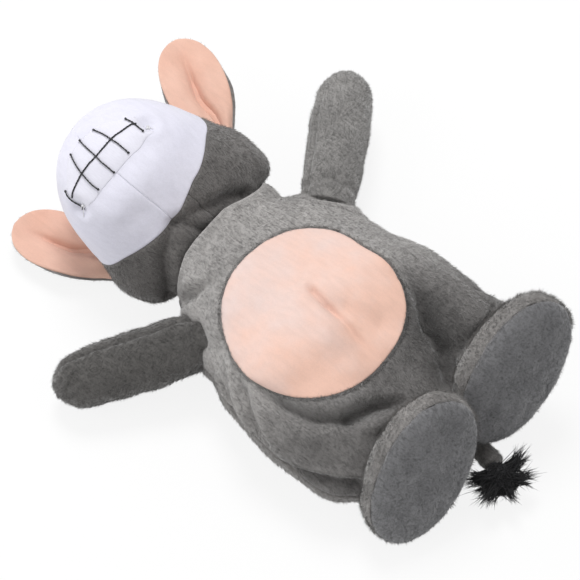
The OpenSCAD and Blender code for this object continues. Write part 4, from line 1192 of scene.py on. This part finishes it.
TUFT_WAY = unit(vec(-0.36, -0.9, 0.3))
TUFT = knots[-1] + 11 * TUFT_WAY + vec(-2, 1.7, 0)
TUFT_SIZE = vec(7.6, 8.8, 7.6)
FUR_HAIRS, LOCK_HAIRS = 3600, 90
LOCKS = ((50, 14), (38, 11), (4, 11), (-12, 9), (-66, 8), (-112, 10), (-128, 11), (-142, 9), (-168, 12), (178, 10))
theta, phi = mesh_of(np.linspace(0.05, math.pi - 0.05, 26), np.linspace(0, 2 * math.pi, 40, endpoint=False))
blob = xyz(np.sin(theta) * np.cos(phi), np.sin(theta) * np.sin(phi), np.cos(theta))
blob = raised(TUFT + blob * TUFT_SIZE * (1 + 0.10 * lumps(blob * 10, 5, 9)[..., None]), 0.5)
on(closed("tail_fur_core", [outward(blob, TUFT, True)], "fur"), "tail", slot="black_fur")
r = np.random.default_rng(101)
spots = unit(r.normal(size=(FUR_HAIRS, 3)))
root = TUFT + spots * TUFT_SIZE * 0.93
ways = 0.35 * spots + TUFT_WAY + 0.45 * r.normal(size=spots.shape)
lengths = 1.5 + 1.6 * r.random(FUR_HAIRS)
# the photo's right and up on the table, from which the headings of the locks were read
IMAGE_RIGHT, IMAGE_UP = vec(0.6361, -0.7716, 0), vec(0.7716, 0.6361, 0)
for heading, reach in LOCKS:
    heading = math.radians(heading)
    way = unit(IMAGE_RIGHT * math.cos(heading) + IMAGE_UP * math.sin(heading) + vec(0, 0, 0.12))
    spots = unit(way + 0.30 * r.normal(size=(LOCK_HAIRS, 3)))
    tip = TUFT + way * (8 + reach * (0.4 + 0.6 * r.random((LOCK_HAIRS, 1)))) + 1.3 * r.normal(size=(LOCK_HAIRS, 3))
    start = TUFT + spots * TUFT_SIZE * 0.9
    root = np.concatenate([root, start])
    ways = np.concatenate([ways, tip - start])
    lengths = np.concatenate([lengths, np.linalg.norm(tip - start, axis=-1)])
hairs = strands("tail_fur", raised(root, 1.0), raised(ways, -0.15), lengths, 0.26, "fur", 7, 0.5)
on(hairs, "tail", "tail_tuft", slot="black_fur")


# ---- stage, light and camera

def mix_shaders(tree, share, first, second, output):
    node = tree.nodes.new("ShaderNodeMixShader")
    for socket, value in zip(node.inputs, (share, first.outputs[0], second.outputs[0])):
        tree.links.new(value, socket)
    tree.links.new(node.outputs[0], tree.nodes[output].inputs["Surface"])


scene = bpy.context.scene
FLOOR_HALF = 6000
stage = Nodes("studio_floor")
M["floor"] = stage.finish(stage.mottle(stage.noise(4), WHITE, 0.92, 0.94), stage.noise(300), 0.02, 0.0002, 0.95,
                          specular=0.0)
corners = FLOOR_HALF * vec([-1, -1, 0], [1, -1, 0], [1, 1, 0], [-1, 1, 0])
build("floor", corners, [np.arange(4)[None]], "floor", smooth=False)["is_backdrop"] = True
glow = stage.add("ShaderNodeEmission", Strength=1.0)
rays = stage.add("ShaderNodeLightPath")
seen = stage.math("MAXIMUM", rays.outputs["Is Camera Ray"], rays.outputs["Is Glossy Ray"])
seen = stage.math("MAXIMUM", seen, rays.outputs["Is Transmission Ray"])
mix_shaders(stage.tree, stage.math("MULTIPLY", seen, 0.85), stage.shader, glow, "Material Output")

world = bpy.data.worlds.new("studio")
scene.world = world
world.use_nodes = True
tree = world.node_tree
dim, white = tree.nodes["Background"], tree.nodes.new("ShaderNodeBackground")
dim.inputs["Strength"].default_value = 0.46
for node in (dim, white):
    node.inputs["Color"].default_value = (1, 1, 1, 1)
mix_shaders(tree, tree.nodes.new("ShaderNodeLightPath").outputs["Is Camera Ray"], dim, white, "World Output")

AZIMUTH, ELEVATION, FAR = math.radians(-50.5), math.radians(62), 1.150
CAMERA = {"sensor_width": 36.0, "lens": 129.8, "shift_x": -10 / 580, "shift_y": 10 / 580, "clip_start": 0.05,
          "clip_end": 20.0}
right = vec(math.cos(AZIMUTH), math.sin(AZIMUTH), 0)
ahead = vec(-math.sin(AZIMUTH), math.cos(AZIMUTH), 0)
look = ahead * math.cos(ELEVATION) - vec(0, 0, math.sin(ELEVATION))
above = np.cross(right, look)
aim = vec(0.00935, 0.0264, 0)


def lamp(name, place, size, watts):
    data = bpy.data.lights.new(name, "AREA")
    data.shape, data.size, data.energy = "DISK", size, watts
    obj = placed(name, data)
    obj.location = place
    obj.rotation_euler = (Vector((0, 0.02, 0.03)) - Vector(place)).to_track_quat("-Z", "Y").to_euler()


lamp("key", aim + above * 0.75 - right * 0.1 + vec(0, 0, 1), 0.6, 13.6)
lamp("fill", aim + right * 1.2 - above * 0.2 + vec(0, 0, 0.9), 1.4, 1.5)
lamp("low_fill", aim - right * 1.1 - above * 0.5 + vec(0, 0, 0.9), 1.4, 6.2)

camera = placed("camera", bpy.data.cameras.new("camera"))
for key, value in CAMERA.items():
    setattr(camera.data, key, value)
frame_axes = np.eye(4)
frame_axes[:3] = np.stack([right, above, -look, aim - look * FAR], -1)
camera.matrix_world = Matrix(frame_axes.tolist())
scene.camera = camera
scene.view_settings.view_transform = "Standard"

low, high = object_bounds()
